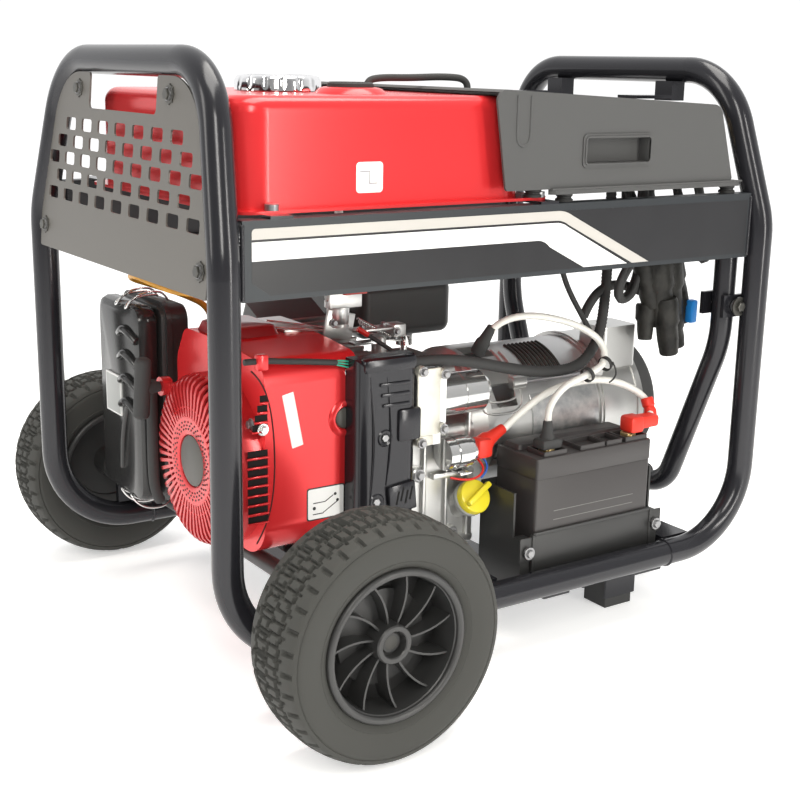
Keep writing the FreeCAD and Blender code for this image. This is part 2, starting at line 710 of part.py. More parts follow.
node("crankcase", crankcase())
node("cylinder_head", shaped(cylinder_head()))
cover_block = Part.makeBox(96, 62, 86, V(-48, 92, -43))
cover_block = cover_block.makeFillet(12, [e for e in cover_block.Edges if e.BoundBox.YMin > 93])
cover_room = Part.makeBox(88, 54, 78, V(-44, 92, -39))
cover_room = cover_room.makeFillet(8, [e for e in cover_room.Edges if e.BoundBox.YMin > 93])
node("rocker_cover", shaped(on_cylinder(CYLINDER_START, cover_block.cut(cover_room))))
plug_body = Part.makeCylinder(4.9, 26, V(0, 62, -62), V(0, 0, 1))
plug_nut = Part.makeCylinder(10, 8, V(0, 62, -64), V(0, 0, 1))
plug_cap = Part.makeCylinder(9, 30, V(0, 62, -94), V(0, 0, 1))
node("spark_plug", shaped(on_cylinder(CYLINDER_START, plug_body.multiFuse([plug_nut, plug_cap]))))


def shroud_outline(inset=0):
    """Edge of the fan shroud seen along the shaft."""
    near, far, low = -148 + inset, 70 - inset, 140 + inset
    return [(near, low, 44), (far, low, 44), (far, 330 - inset, 30), (48 - inset, 368 - inset, 20),
            (-60 + inset, 368 - inset, 14), (near, 360 - inset, 26)]


def fan_shroud():
    """Pressed fan housing, open at the recoil cover and towards the engine."""
    x, gauge = dim("shroud_x"), 2.5
    length = dim("shroud_end") - x
    skin = yz_pad("shroud_skin", shroud_outline(), x, length)
    room = yz_pad("shroud_room", shroud_outline(gauge), x + gauge, length)
    mouth = rod("x", x - 5, CY, CZ, "recoil_rad - 9", 20)
    fins_room = shaped(cylinder_block_room())
    return cut(skin, room, mouth, fins_room)


node("fan_shroud", fan_shroud())


def recoil_cover():
    """Round cover with slotted face and side, a hub post and the rope guide."""
    rad, gauge = dim("recoil_rad"), 2.5
    deep = dim("shroud_x") - dim("recoil_x")
    outline = [(0, deep, 0), (rad - 12, deep, 4), (rad, deep - 10, 5), (rad, 0, 0),
               (rad - gauge, 0, 0), (rad - gauge, deep - 11, 4), (rad - 13, deep - gauge, 3),
               (6, deep - gauge, 0), (6, 4, 0), (0, 4, 0)]
    shell = lathe("recoil_shell", [outline])

    def face_slot(angle):
        slot = box(0, 0, 0, 30, 4.4, 12)
        spin = FreeCAD.Rotation(Z, angle)
        slot.Placement = FreeCAD.Placement(spin.multVec(V(51, -2.2, deep - 6)), spin)
        return slot

    def side_slot(angle):
        slot = box(0, 0, 0, 12, 6, 18)
        spin = FreeCAD.Rotation(Z, angle)
        slot.Placement = FreeCAD.Placement(spin.multVec(V(rad - 6, -3, 5)), spin)
        return slot

    sides = [side_slot(a) for a in range(-130, -40, 10)]
    cover = cut(shell, *around(36, face_slot), *sides)
    cover.Placement = FreeCAD.Placement(V(dim("shroud_x"), CY, CZ), FreeCAD.Rotation(Y, -90))
    guide = rod("x", dim("recoil_x") - 4, GUIDE_Y, GUIDE_Z, 11, 14)
    arm = box(dim("recoil_x") - 2, CY + 62, GUIDE_Z - 8, 10, GUIDE_Y - CY - 62, 16)
    eye = rod("x", dim("recoil_x") - 10, GUIDE_Y, GUIDE_Z, 4, 30)
    return cut(fuse(cover, arm, guide), eye)


GUIDE_Y, GUIDE_Z = 27, 306
node("recoil_cover", recoil_cover())

pulley_bore = "6 + run_gap"
pulley_x = dim("shroud_x") - 24
pulley_disc = rod("x", pulley_x, CY, CZ, 56, 14)
pulley_groove = rod("x", pulley_x + 3, CY, CZ, 62, 8)
node("recoil_pulley", cut(pulley_disc, cut(pulley_groove, rod("x", pulley_x, CY, CZ, 48, 20)),
                          rod("x", pulley_x - 5, CY, CZ, pulley_bore, 30)))


def pull_handle():
    """Moulded T grip on a stem that rests in the rope guide."""
    x = dim("recoil_x") - 26
    slant = V(0, 0.14, -0.99).normalize()
    middle = V(x, GUIDE_Y, GUIDE_Z)
    grip = Part.makeCylinder(9.5, 74, middle - slant * 37, slant)
    grip = grip.makeFillet(6, [e for e in grip.Edges if isinstance(e.Curve, Part.Circle)])
    stem = Part.makeCone(9, 6, 21, middle, V(1, 0, 0))
    return grip.fuse(stem)


node("pull_handle", shaped(pull_handle()))


def flywheel():
    """Fan wheel: a ring on a hub with straight blades."""
    x = dim("shroud_x") + 30
    back = x + 34
    disc = rod("x", x + 24, CY, CZ, 84, 10)
    hub = rod("x", x + 4, CY, CZ, 26, back - x - 4)
    blades = []
    for angle in range(0, 360, 30):
        blade = box(0, 0, 0, 26, 3, 44)
        spin = FreeCAD.Rotation(X, angle)
        blade.Placement = FreeCAD.Placement(V(x, CY, CZ) + spin.multVec(V(0, -1.5, 38)), spin)
        blades.append(blade)
    bore = rod("x", x - 5, CY, CZ, "shaft_rad", 60)
    return cut(fuse(disc, hub, *blades), bore)


node("flywheel", flywheel())
shaft_left = dim("shroud_x") + 28
crank_web = rod("x", CYLINDER_X - 20, CY, CZ, 44, 12)
crank_web_two = rod("x", CYLINDER_X + 8, CY, CZ, 44, 12)
crank_shaft = rod("x", shaft_left, CY, CZ, "shaft_rad", dim("end_cap_x") + 12 - shaft_left)
node("crankshaft", fuse(crank_shaft, crank_web, crank_web_two))
rotor_core = rod("x", dim("stator_x") + 6, CY, CZ, 58, 104)
fan_disc = rod("x", dim("bell_x") + 40, CY, CZ, 76, 8)
fan_hub = rod("x", dim("bell_x") + 40, CY, CZ, 24, dim("stator_x") - dim("bell_x") - 34)
node("rotor", cut(fuse(rotor_core, fan_disc, fan_hub),
                  rod("x", dim("bell_x"), CY, CZ, "shaft_rad", 300)))


def starter_cover():
    """Moulded side cover with a vented lower corner, open towards the engine."""
    left, right, front, back = -174, -95, -178, -148.5
    low, high, gauge = 172, 359, 3
    shell = box(left, front, low, right - left, back - front, high - low)
    shell = rounded(shell, 14, lambda e: e.BoundBox.YMax < front + 1)
    room = box(left + gauge, front + gauge, low + gauge, right - left - 2 * gauge,
               back - front, high - low - 2 * gauge)
    room = rounded(room, 11, lambda e: e.BoundBox.YMax < front + gauge + 1)
    vents = [box(right - 30, front - 1, low + 12 + 8 * i, 20, gauge + 2, 3.5) for i in range(4)]
    recess = rod("y", left + 34, front - 1, 269, 8, 3)
    return cut(shell, room, recess, *vents)


node("starter_cover", starter_cover())

STARTER_Y, STARTER_Z = -140, 297
gear_case = rounded(box(-94, -172, 264, 41, 60, 74), 12, runs_along(X))
gear_lug = box(-90, -172, 250, 30, 22, 20)
motor_can = rod("x", -53, STARTER_Y, STARTER_Z, 25, 68)
motor_end = taper("x", 15, STARTER_Y, STARTER_Z, 24, 20, 7)
node("starter_motor", fuse(gear_case, gear_lug, motor_can, motor_end))

solenoid_can = rod("x", -46, -158.5, 231, 19, 34)
solenoid_cap = rod("x", -12, -158.5, 231, 15, 8)
solenoid_studs = [rod("x", -4, -158.5, 231 + dz, 4, 9) for dz in (-9, 9)]
node("starter_solenoid", fuse(solenoid_can, solenoid_cap, *solenoid_studs))

cap_seat = NECK_FOOT + NECK_AXIS * NECK_LENGTH
cap_head = Part.makeCylinder(21, 12, cap_seat, NECK_AXIS)
cap_plug = Part.makeCylinder(12, 16, cap_seat - NECK_AXIS * 16, NECK_AXIS)
cap_wing = Part.makeBox(40, 8, 12, V(-20, -4, 12))
cap_wing.Placement = FreeCAD.Placement(cap_seat, FreeCAD.Rotation(Z, NECK_AXIS))
node("oil_filler_cap", shaped(cap_head.multiFuse([cap_plug, cap_wing])))

# ---------------------------------------------------------------- fuel and air
carb_body = box(-235, 84, 302, 68, 50, 43)
carb_bowl = rod("z", -205, 109, 272, 22, 30)
carb_flange = rod("x", -167, 106, 321, 15, CYLINDER_X - dim("fin_side") / 2 + 167)
carb_shaft_hole = rod("z", -226, 109, 325, 3 + dim("run_gap"), 30)
node("carburettor", cut(fuse(carb_body, carb_bowl, carb_flange), carb_shaft_hole))
choke_shaft = rod("z", -226, 109, 330, 3, 22)
choke_arm = box(-229, 74, 347, 6, 38, 3)
node("choke_lever", fuse(choke_shaft, choke_arm))

AIR_LEFT, AIR_SPLIT, AIR_RIGHT = -314, -285, -245
AIR_NEAR, AIR_FAR, AIR_LOW, AIR_HIGH = 92, 220, 142, 386


def air_cleaner_base():
    """Back half of the air cleaner with the filter element's seat and carburettor spigot."""
    base = box(AIR_SPLIT, AIR_NEAR, AIR_LOW, AIR_RIGHT - AIR_SPLIT, AIR_FAR - AIR_NEAR,
               AIR_HIGH - AIR_LOW)
    base = rounded(base, 18, runs_along(X))
    room = box(AIR_SPLIT - 1, AIR_NEAR + 12, AIR_LOW + 12, AIR_RIGHT - AIR_SPLIT - 4,
               AIR_FAR - AIR_NEAR - 24, AIR_HIGH - AIR_LOW - 24)
    spigot = rod("x", AIR_RIGHT, 109, 323, 20, -235 - AIR_RIGHT)
    return fuse(cut(base, room), spigot)


def air_cleaner_cover():
    """Front half, a hollow shell that lifts off towards the end of the machine."""
    gap, gauge = 0.2, 3
    length = AIR_SPLIT - gap - AIR_LEFT
    cover = box(AIR_LEFT, AIR_NEAR, AIR_LOW, length, AIR_FAR - AIR_NEAR, AIR_HIGH - AIR_LOW)
    cover = rounded(cover, 18, runs_along(X))
    cover = rounded(cover, 8, lambda e: e.BoundBox.XMax < AIR_LEFT + 0.01)
    room = box(AIR_LEFT + gauge, AIR_NEAR + gauge + 6, AIR_LOW + gauge + 6, length,
               AIR_FAR - AIR_NEAR - 2 * gauge - 12, AIR_HIGH - AIR_LOW - 2 * gauge - 12)
    return cut(cover, room)


node("air_cleaner_base", air_cleaner_base())
node("air_cleaner_cover", air_cleaner_cover())

VALVE_TOP = dim("tank_low") - 23
valve_riser = rod("z", OUTLET_X, OUTLET_Y, 428, 5, VALVE_TOP - 428)
valve_body = rod("z", OUTLET_X, OUTLET_Y, 405, 14, 25)
valve_bowl = rod("z", OUTLET_X, OUTLET_Y, 374, 12.5, 31)
valve_boss = rod("y", OUTLET_X, OUTLET_Y - 17, 418, 8, 10)
valve_hole = rod("y", OUTLET_X, OUTLET_Y - 30, 418, 3 + dim("run_gap"), 24)
node("fuel_valve", cut(fuse(valve_riser, valve_body, valve_bowl, valve_boss), valve_hole))
lever_stem = rod("y", OUTLET_X, OUTLET_Y - 23, 418, 3, 14)
lever_blade = box(OUTLET_X - 5, OUTLET_Y - 23, 414, 30, 4, 8)
node("fuel_valve_lever", fuse(lever_stem, lever_blade))

governor_post = rod("z", -38, -62, 322, 4, 34)
governor_plate = box(-112, -69, 350, 80, 14, 3)
governor_clamp = rod("z", -38, -62, 344, 10, 12)
node("governor_arm", fuse(governor_post, governor_plate, governor_clamp))

muffler_box = rounded(box(-20, 62, 322, 145, 138, 72), 14, lambda e: True)
muffler_inlet = rod("x", CYLINDER_X + dim("fin_side") / 2, 104, 342, 15, 30)
muffler_tail = rod("y", 92, 196, 352, 14, 26)
muffler_room = rounded(box(-17, 65, 325, 139, 132, 66), 11, lambda e: True)
muffler_bore = rod("y", 92, 190, 352, 11, 40)
node("muffler", cut(fuse(muffler_box, muffler_inlet, muffler_tail), muffler_room, muffler_bore))

# ---------------------------------------------------------------- alternator
def vents(x, length, count, width):
    """Openings round a casing, cut from outside."""
    made = []
    for angle in range(0, 360, 360 // count):
        slot = box(0, 0, 0, length, width, 40)
        spin = FreeCAD.Rotation(X, angle + 15)
        slot.Placement = FreeCAD.Placement(V(x, CY, CZ) + spin.multVec(V(0, -width / 2, 70)), spin)
        made.append(slot)
    return made


def front_bell():
    """Cast bell between engine and stator, open inside for the fan."""
    x, rad, gauge = dim("bell_x"), dim("alternator_rad"), 9
    length = dim("stator_x") - x
    cone = taper("x", x, CY, CZ, rad - 12, rad, 18)
    drum = rod("x", x + 18, CY, CZ, rad, length - 18)
    room = rod("x", x + 12, CY, CZ, rad - gauge, length)
    bore = rod("x", x - 5, CY, CZ, "shaft_rad + 5", 40)
    return cut(fuse(cone, drum), room, bore, *vents(x + 26, 40, 8, 30))


def end_housing():
    """Cast rear housing with the bearing wall, a terminal block on top and a foot."""
    x, rad, gauge = dim("end_x"), dim("alternator_rad"), 9
    length = dim("end_cap_x") - x
    drum = rod("x", x, CY, CZ, rad, length)
    room = rod("x", x - 1, CY, CZ, rad - gauge, length - 9)
    foot = box(253, CY - 55, dim("case_low"), length - 38, 110, 60)
    block = rounded(box(226, -128, 296, 56, 50, 54), 5, runs_along(Z))
    bore = rod("x", x, CY, CZ, "shaft_rad + run_gap", length + 5)
    return cut(fuse(drum, foot, block), room, bore)


node("front_bell", front_bell())
stator_ring = rod("x", dim("stator_x"), CY, CZ, "alternator_rad - 3", "end_x - stator_x")
node("stator", cut(stator_ring, rod("x", dim("stator_x") - 1, CY, CZ, 60,
                                    dim("end_x") - dim("stator_x") + 2)))
node("end_housing", end_housing())


def alternator_cap():
    """Pressed dome over the brushes."""
    rad, deep, gauge = dim("alternator_rad") - 3, dim("end_cap_end") - dim("end_cap_x"), 2
    outline = [(0, deep, 0), (rad - 8, deep, 18), (rad, 0, 0), (rad - gauge, 0, 0),
               (rad - 8 - gauge, deep - gauge, 16), (0, deep - gauge, 0)]
    where = FreeCAD.Placement(V(dim("end_cap_x"), CY, CZ), FreeCAD.Rotation(Y, 90))
    return lathe("alternator_cap", [outline], where)


node("alternator_cap", alternator_cap())

MOUNT_SPOTS = [(-150, -112), (-150, 4), (-25, -112), (-25, 4), (271, -88), (271, -12)]
mounts = [rod("z", x, y, dim("cross_top"), 16, "case_low - cross_top") for x, y in MOUNT_SPOTS]
node("rubber_mounts", group(*feet, *mounts))

# ---------------------------------------------------------------- battery
BX, BY, BZ = dim("battery_x"), dim("battery_front"), dim("battery_low")
POST_X = (BX + 28, BX + dim("battery_len") - 22)
POST_Y = BY + 18
POST_HIGH = 7
battery_case = rounded(box(BX, BY, BZ, "battery_len", "battery_wid", dim("battery_high") - POST_HIGH),
                       4, runs_along(Z))
battery_posts = [box(x - 7, POST_Y - 7, BZ + dim("battery_high") - POST_HIGH, 14, 14, POST_HIGH)
                 for x in POST_X]
node("battery", fuse(battery_case, *battery_posts))


def battery_tray():
    """Folded tray: floor, back wall and two end posts for the strap."""
    left, right = BX - 20, BX + dim("battery_len") + 20
    back = BY + dim("battery_wid")
    floor = box(left, BY - 3, foot_bar_low + foot_bar_thick, right - left,
                dim("battery_wid") + 6, BZ - foot_bar_low - foot_bar_thick)
    wall = box(left, back, BZ - 1, right - left, 3, 118)
    posts = [box(x, BY + 0.4, BZ - 1, 16, 16, 64) for x in (left, right - 16)]
    ends = [box(x, BY + 16, BZ - 1, 3, dim("battery_wid") - 14, 118) for x in (left, right - 3)]
    return fuse(floor, wall, *posts, *ends)


node("battery_tray", battery_tray())
STRAP_X = (BX - 12, BX + dim("battery_len") + 12)
strap_plate = box(BX - 2, BY - 2.6, BZ + 30, dim("battery_len") + 4, 2.4, 40)
strap_ears = [box(x - 11, BY - 2.6, BZ + 34, 22, 2.4, 28) for x in STRAP_X]
node("battery_strap", fuse(strap_plate, *strap_ears))

# ---------------------------------------------------------------- folding pull handle
def bar_route():
    """U shaped bar hanging from its two pivots, in the plane of the right hoop."""
    x, y = dim("handle_x"), dim("pivot_y")
    near = [(V(x, -y, 446), 0), (V(x, -y, 335), 160), (V(x, -132, 122), 45)]
    far = [(V(p.x, -p.y, p.z), r) for p, r in reversed(near)]
    return near + far


def pull_bar():
    """Bent tube with the two pivot holes."""
    tube = shaped(pipe(bar_route(), dim("handle_rad"), dim("handle_rad") - 2))
    holes = [rod("y", dim("handle_x"), side * dim("pivot_y") - 30, dim("pivot_high"),
                 PIN_RAD + dim("run_gap"), 60) for side in (-1, 1)]
    return cut(tube, *holes)


GRIP_HALF = 92
node("pull_bar", pull_bar())
grip_tube = rod("y", dim("handle_x"), -GRIP_HALF, 122, 18, 2 * GRIP_HALF)
grip_ends = [rod("y", dim("handle_x"), y, 122, 21, 6) for y in (-GRIP_HALF, GRIP_HALF - 6)]
grip_bore = rod("y", dim("handle_x"), -GRIP_HALF - 5, 122, "handle_rad", 2 * GRIP_HALF + 10)
node("grip", cut(fuse(grip_tube, *grip_ends), grip_bore))

# ---------------------------------------------------------------- fasteners
def pivot_pin(side):
    """Bolt through a collar and the pull bar, with its head outside."""
    y = side * dim("pivot_y")
    shank = rod("y", dim("handle_x"), y - 21, dim("pivot_high"), PIN_RAD, 42)
    head_y = y - 26 if side < 0 else y + 21
    head = rod("y", dim("handle_x") - 1, head_y, dim("pivot_high"), 8, 5)
    inside = y + 20 if side < 0 else y - 26
    nut = rod("y", dim("handle_x"), inside, dim("pivot_high"), 8, 6)
    leg = rod("z", dim("half_len"), side * dim("half_wid"), 360, "tube_od / 2 + 0.2", 60)
    return cut(fuse(shank, head, nut), leg)


def panel_bolt(y, v):
    """Button head screw on the outer face of the leaning panel."""
    head = rod("x", -3.5, 0, 0, 6.5, 3.5)
    spot = PANEL_PLACE.multVec(V(0, y, v))
    head.Placement = FreeCAD.Placement(spot, PANEL_PLACE.Rotation).multiply(head.Placement)
    return head


tank_bolts = [rod("z", x, y, dim("tank_low"), 7, 6) for x in (-305, 28)
              for y in (dim("tank_front") - 7.2, dim("tank_back") + 7.2)]
strap_bolts = [rod("y", x, BY - 6.6, BZ + 48, 6, 4) for x in STRAP_X]
node("fasteners", group(pivot_pin(-1), pivot_pin(1), *[panel_bolt(*b) for b in PANEL_BOLTS],
                        *tank_bolts, *strap_bolts))

# ---------------------------------------------------------------- leads and hoses
POST_TOP = BZ + dim("battery_high")
starter_lead = cable(
    [(5, -158.5, 240), (30, -158.5, 240), (54, -168, 266), (96, -172, 292), (148, -170, 299),
     (200, -171, 295), (240, -177, 278), (256, -190, 258), (240, -203, 245), (214, -205, 243)], 9)
earth_lead = cable(
    [(72, -205, POST_TOP), (72, -205, 260), (82, -194, 281), (112, -185, 300), (150, -184, 309),
     (184, -178, 318), (190, -165, 342), (164, -154, 362), (122, -148, 376), (78, -146, 383),
     (44, -144, 378), (26, -138, 360), (24, -128, 342)], 9)
node("battery_leads", group(starter_lead, earth_lead))
conduit = cable(
    [(-95, -163, 347), (-58, -163, 347), (-10, -165, 339), (60, -160, 320), (118, -156, 310),
     (168, -152, 312), (204, -142, 340), (222, -130, 385), (236, -116, 440), (243, -108, 492),
     (243, -108, 546)], 13)
loom = cable(
    [(292, -122, 546), (292, -122, 508), (284, -142, 462), (290, -150, 420), (300, -152, 385),
     (306, -152, 352)], 15)
loop = cable(
    [(258, -152, 546), (258, -152, 502), (238, -164, 452), (214, -162, 415), (222, -154, 388),
     (248, -150, 392), (264, -146, 430), (271, -134, 490), (271, -134, 546)], 9)
node("wiring_loom", group(conduit, loom, loop))
fuel_line = cable(
    [(-144, -60, 416), (-176, -60, 416), (-232, -4, 414), (-276, 48, 406), (-296, 92, 416),
     (-300, 136, 420), (-290, 168, 410), (-262, 170, 400), (-230, 144, 389), (-206, 112, 374),
     (-206, 112, 345)], 8)
vent_line = cable(
    [(-104, -74, 640), (-104, -74, 652), (-88, -76, 656), (-48, -80, 656), (-8, -87, 658),
     (22, -94, 656), (22, -94, 645.3)], 8)
node("fuel_hoses", group(fuel_line, vent_line))


# ---------------------------------------------------------------- check and write
doc.recompute()
for obj in doc.Objects:
    if "Invalid" in obj.State or "Error" in obj.State:
        raise SystemExit(f"{obj.Label} failed: {obj.State}")
for obj in NODES:
    if obj.Shape.isNull() or not obj.Shape.isValid():
        raise SystemExit(f"{obj.Label} has no valid shape")
os.makedirs("parts", exist_ok=True)
for obj in NODES:
    obj.Shape.exportStep(f"parts/{obj.Label}.step")
    print(f"{obj.Label}: {len(obj.Shape.Solids)} solid(s), {obj.Shape.Volume / 1000:.1f} cm3")
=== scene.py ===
"""Looks of the engine driven welder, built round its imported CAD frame. Metres, +Z up, battery side towards -Y."""

import json
import math
import random

import bmesh
import bpy
from mathutils import Matrix, Vector


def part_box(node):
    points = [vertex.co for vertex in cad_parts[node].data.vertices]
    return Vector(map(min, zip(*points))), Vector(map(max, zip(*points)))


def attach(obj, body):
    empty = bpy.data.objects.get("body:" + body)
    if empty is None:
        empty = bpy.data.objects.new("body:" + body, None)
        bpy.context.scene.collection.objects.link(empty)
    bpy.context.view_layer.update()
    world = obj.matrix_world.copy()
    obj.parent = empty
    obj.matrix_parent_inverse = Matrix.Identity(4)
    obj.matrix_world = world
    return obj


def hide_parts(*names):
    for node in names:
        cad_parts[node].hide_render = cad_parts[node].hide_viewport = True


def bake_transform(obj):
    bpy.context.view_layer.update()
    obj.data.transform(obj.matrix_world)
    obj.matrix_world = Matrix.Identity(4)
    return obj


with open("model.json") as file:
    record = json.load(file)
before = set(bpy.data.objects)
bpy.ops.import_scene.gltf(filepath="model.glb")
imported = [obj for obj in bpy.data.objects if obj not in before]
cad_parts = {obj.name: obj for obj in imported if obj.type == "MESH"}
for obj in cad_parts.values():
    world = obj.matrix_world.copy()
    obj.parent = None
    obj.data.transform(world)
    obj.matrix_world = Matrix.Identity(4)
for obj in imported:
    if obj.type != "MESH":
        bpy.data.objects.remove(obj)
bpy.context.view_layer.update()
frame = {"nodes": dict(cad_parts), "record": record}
nodes = frame["nodes"]
random.seed(7)
MM = 0.001
TURN = 2 * math.pi
VIEW = (0.56, 0.82, 0.0)


# ---------------------------------------------------------------- camera, light and floor
def add_camera():
    """Camera at the viewing angle: a little left of the battery side and slightly above."""
    yaw, pitch, roll = (math.radians(a) for a in (34.25, 14.21, -1.09))
    forward = Vector((math.sin(yaw) * math.cos(pitch), math.cos(yaw) * math.cos(pitch), -math.sin(pitch)))
    right = Vector((math.cos(yaw), -math.sin(yaw), 0))
    down = forward.cross(right)
    side = right * math.cos(roll) + down * math.sin(roll)
    up = right * math.sin(roll) - down * math.cos(roll)
    camera = bpy.data.objects.new("camera", bpy.data.cameras.new("camera"))
    camera.data.lens = 60.08
    camera.data.sensor_width = 36
    camera.data.clip_end = 50
    turn = Matrix((side, up, -forward)).transposed().to_4x4()
    camera.matrix_world = Matrix.Translation((-0.9278, -1.3631, 0.6733)) @ turn
    bpy.context.scene.collection.objects.link(camera)
    bpy.context.scene.camera = camera


def add_light(name, place, target, size, power):
    """A soft rectangular lamp that faces a point."""
    lamp = bpy.data.lights.new(name, "AREA")
    lamp.shape = "RECTANGLE"
    lamp.size, lamp.size_y = size
    lamp.energy = power
    lamp.color = (1, 0.975, 0.91)
    lit = bpy.data.objects.new(name, lamp)
    lit.location = place
    lit.rotation_euler = (Vector(target) - Vector(place)).to_track_quat("-Z", "Y").to_euler()
    bpy.context.scene.collection.objects.link(lit)


def add_surround():
    """White surroundings behind the object that fall off to grey behind the camera side."""
    world = bpy.data.worlds.new("surround")
    world.use_nodes = True
    add, join = world.node_tree.nodes.new, world.node_tree.links.new
    sky = world.node_tree.nodes["Background"]
    place = add("ShaderNodeTexCoord")
    facing = add("ShaderNodeVectorMath")
    facing.operation = "DOT_PRODUCT"
    facing.inputs[1].default_value = VIEW
    fall = add("ShaderNodeMapRange")
    fall.inputs["From Min"].default_value = -0.7
    fall.inputs["From Max"].default_value = 0.5
    fall.inputs["To Min"].default_value = 0.30
    fall.inputs["To Max"].default_value = 1.05
    join(place.outputs["Generated"], facing.inputs[0])
    join(facing.outputs["Value"], fall.inputs["Value"])
    join(fall.outputs["Result"], sky.inputs["Strength"])
    sky.inputs["Color"].default_value = (1, 1, 1, 1)
    bpy.context.scene.world = world
    bpy.context.scene.view_settings.view_transform = "Standard"


def glowing_floor():
    """White floor with a painted glow (emission) that lifts its shadows and lights the object from below; glow and
    colour fade to dark grey well in front of the object, so glossy sides stay dark.
    """
    paint = finish("glowing_floor", (0.94, 0.94, 0.93), 0.75, spread=0.01, grain=60, bump=0)
    add, join = paint.node_tree.nodes.new, paint.node_tree.links.new
    shader = paint.node_tree.nodes["Principled BSDF"]
    shader.inputs["Emission Color"].default_value = (1, 1, 1, 1)
    place = add("ShaderNodeTexCoord")
    ahead = add("ShaderNodeVectorMath")
    ahead.operation = "DOT_PRODUCT"
    ahead.inputs[1].default_value = VIEW
    join(place.outputs["Object"], ahead.inputs[0])
    # painted light: the floor's glow and its colour both fade to dark in front of the object
    for socket, low, high in (("Emission Strength", 0.06, 0.42), ("Base Color", 0.42, 0.94)):
        fade = add("ShaderNodeMapRange")
        fade.inputs["From Min"].default_value = -3.2
        fade.inputs["From Max"].default_value = -0.85
        fade.inputs["To Min"].default_value = low
        fade.inputs["To Max"].default_value = high
        join(ahead.outputs["Value"], fade.inputs["Value"])
        join(fade.outputs["Result"], shader.inputs[socket])
    return paint


def add_studio():
    """Pale floor with a painted glow, bright backdrop and soft lamps that leave the near side dark enough to show
    gloss.
    """
    add_surround()
    centre = (0, 0, 0.3)
    add_light("key", (-1.5, -2.3, 1.9), centre, (0.6, 1.7), 42)
    add_light("strip", (0.52, -2.1, 0.8), centre, (0.2, 1.5), 20)
    add_light("edge", (-2.6, 0.6, 1.4), centre, (0.6, 1.8), 18)
    add_light("top", (0.1, -0.2, 2.7), centre, (2.4, 1.2), 66)
    bpy.ops.mesh.primitive_plane_add(size=40, location=(0, 0, 0))
    floor = bpy.context.object
    floor.name = "floor"
    floor.data.materials.append(glowing_floor())


# ---------------------------------------------------------------- materials
def finish(name, colour, rough, metal=0.0, spread=0.12, grain=30, bump=0.05, fine=900, rough_spread=0.12,
           coat=0.0, second=None, brushed=None, shine=0.32):
    """One node material: a base colour that drifts with noise, uneven gloss and a fine surface grain."""
    if name in bpy.data.materials:
        return bpy.data.materials[name]
    made = bpy.data.materials.new(name)
    made.use_nodes = True
    tree = made.node_tree
    add, join = tree.nodes.new, tree.links.new
    shader = tree.nodes["Principled BSDF"]
    place = add("ShaderNodeTexCoord")
    drift = add("ShaderNodeTexNoise")
    drift.inputs["Scale"].default_value = grain
    drift.inputs["Detail"].default_value = 6
    join(place.outputs["Object"], drift.inputs["Vector"])
    tint = add("ShaderNodeValToRGB")
    dark = [c * (1 - spread) for c in colour]
    light = second or [min(1, c * (1 + spread)) for c in colour]
    tint.color_ramp.elements[0].position = 0.35
    tint.color_ramp.elements[1].position = 0.68
    tint.color_ramp.elements[0].color = (*dark, 1)
    tint.color_ramp.elements[1].color = (*light, 1)
    join(drift.outputs["Fac"], tint.inputs["Fac"])
    join(tint.outputs["Color"], shader.inputs["Base Color"])
    gloss = add("ShaderNodeMapRange")
    gloss.inputs["To Min"].default_value = max(0.02, rough * (1 - rough_spread))
    gloss.inputs["To Max"].default_value = min(1, rough * (1 + rough_spread))
    join(drift.outputs["Fac"], gloss.inputs["Value"])
    join(gloss.outputs["Result"], shader.inputs["Roughness"])
    shader.inputs["Metallic"].default_value = metal
    shader.inputs["Specular IOR Level"].default_value = shine if metal < 0.5 else 0.5
    shader.inputs["Coat Weight"].default_value = coat
    shader.inputs["Coat Roughness"].default_value = 0.06
    if bump:
        speckle = add("ShaderNodeTexNoise")
        speckle.inputs["Scale"].default_value = fine
        speckle.inputs["Detail"].default_value = 3
        if brushed:
            stretch = add("ShaderNodeMapping")
            stretch.inputs["Scale"].default_value = brushed
            join(place.outputs["Object"], stretch.inputs["Vector"])
            join(stretch.outputs["Vector"], speckle.inputs["Vector"])
        else:
            join(place.outputs["Object"], speckle.inputs["Vector"])
        relief = add("ShaderNodeBump")
        relief.inputs["Strength"].default_value = bump
        relief.inputs["Distance"].default_value = 0.001
        join(speckle.outputs["Fac"], relief.inputs["Height"])
        join(relief.outputs["Normal"], shader.inputs["Normal"])
    return made


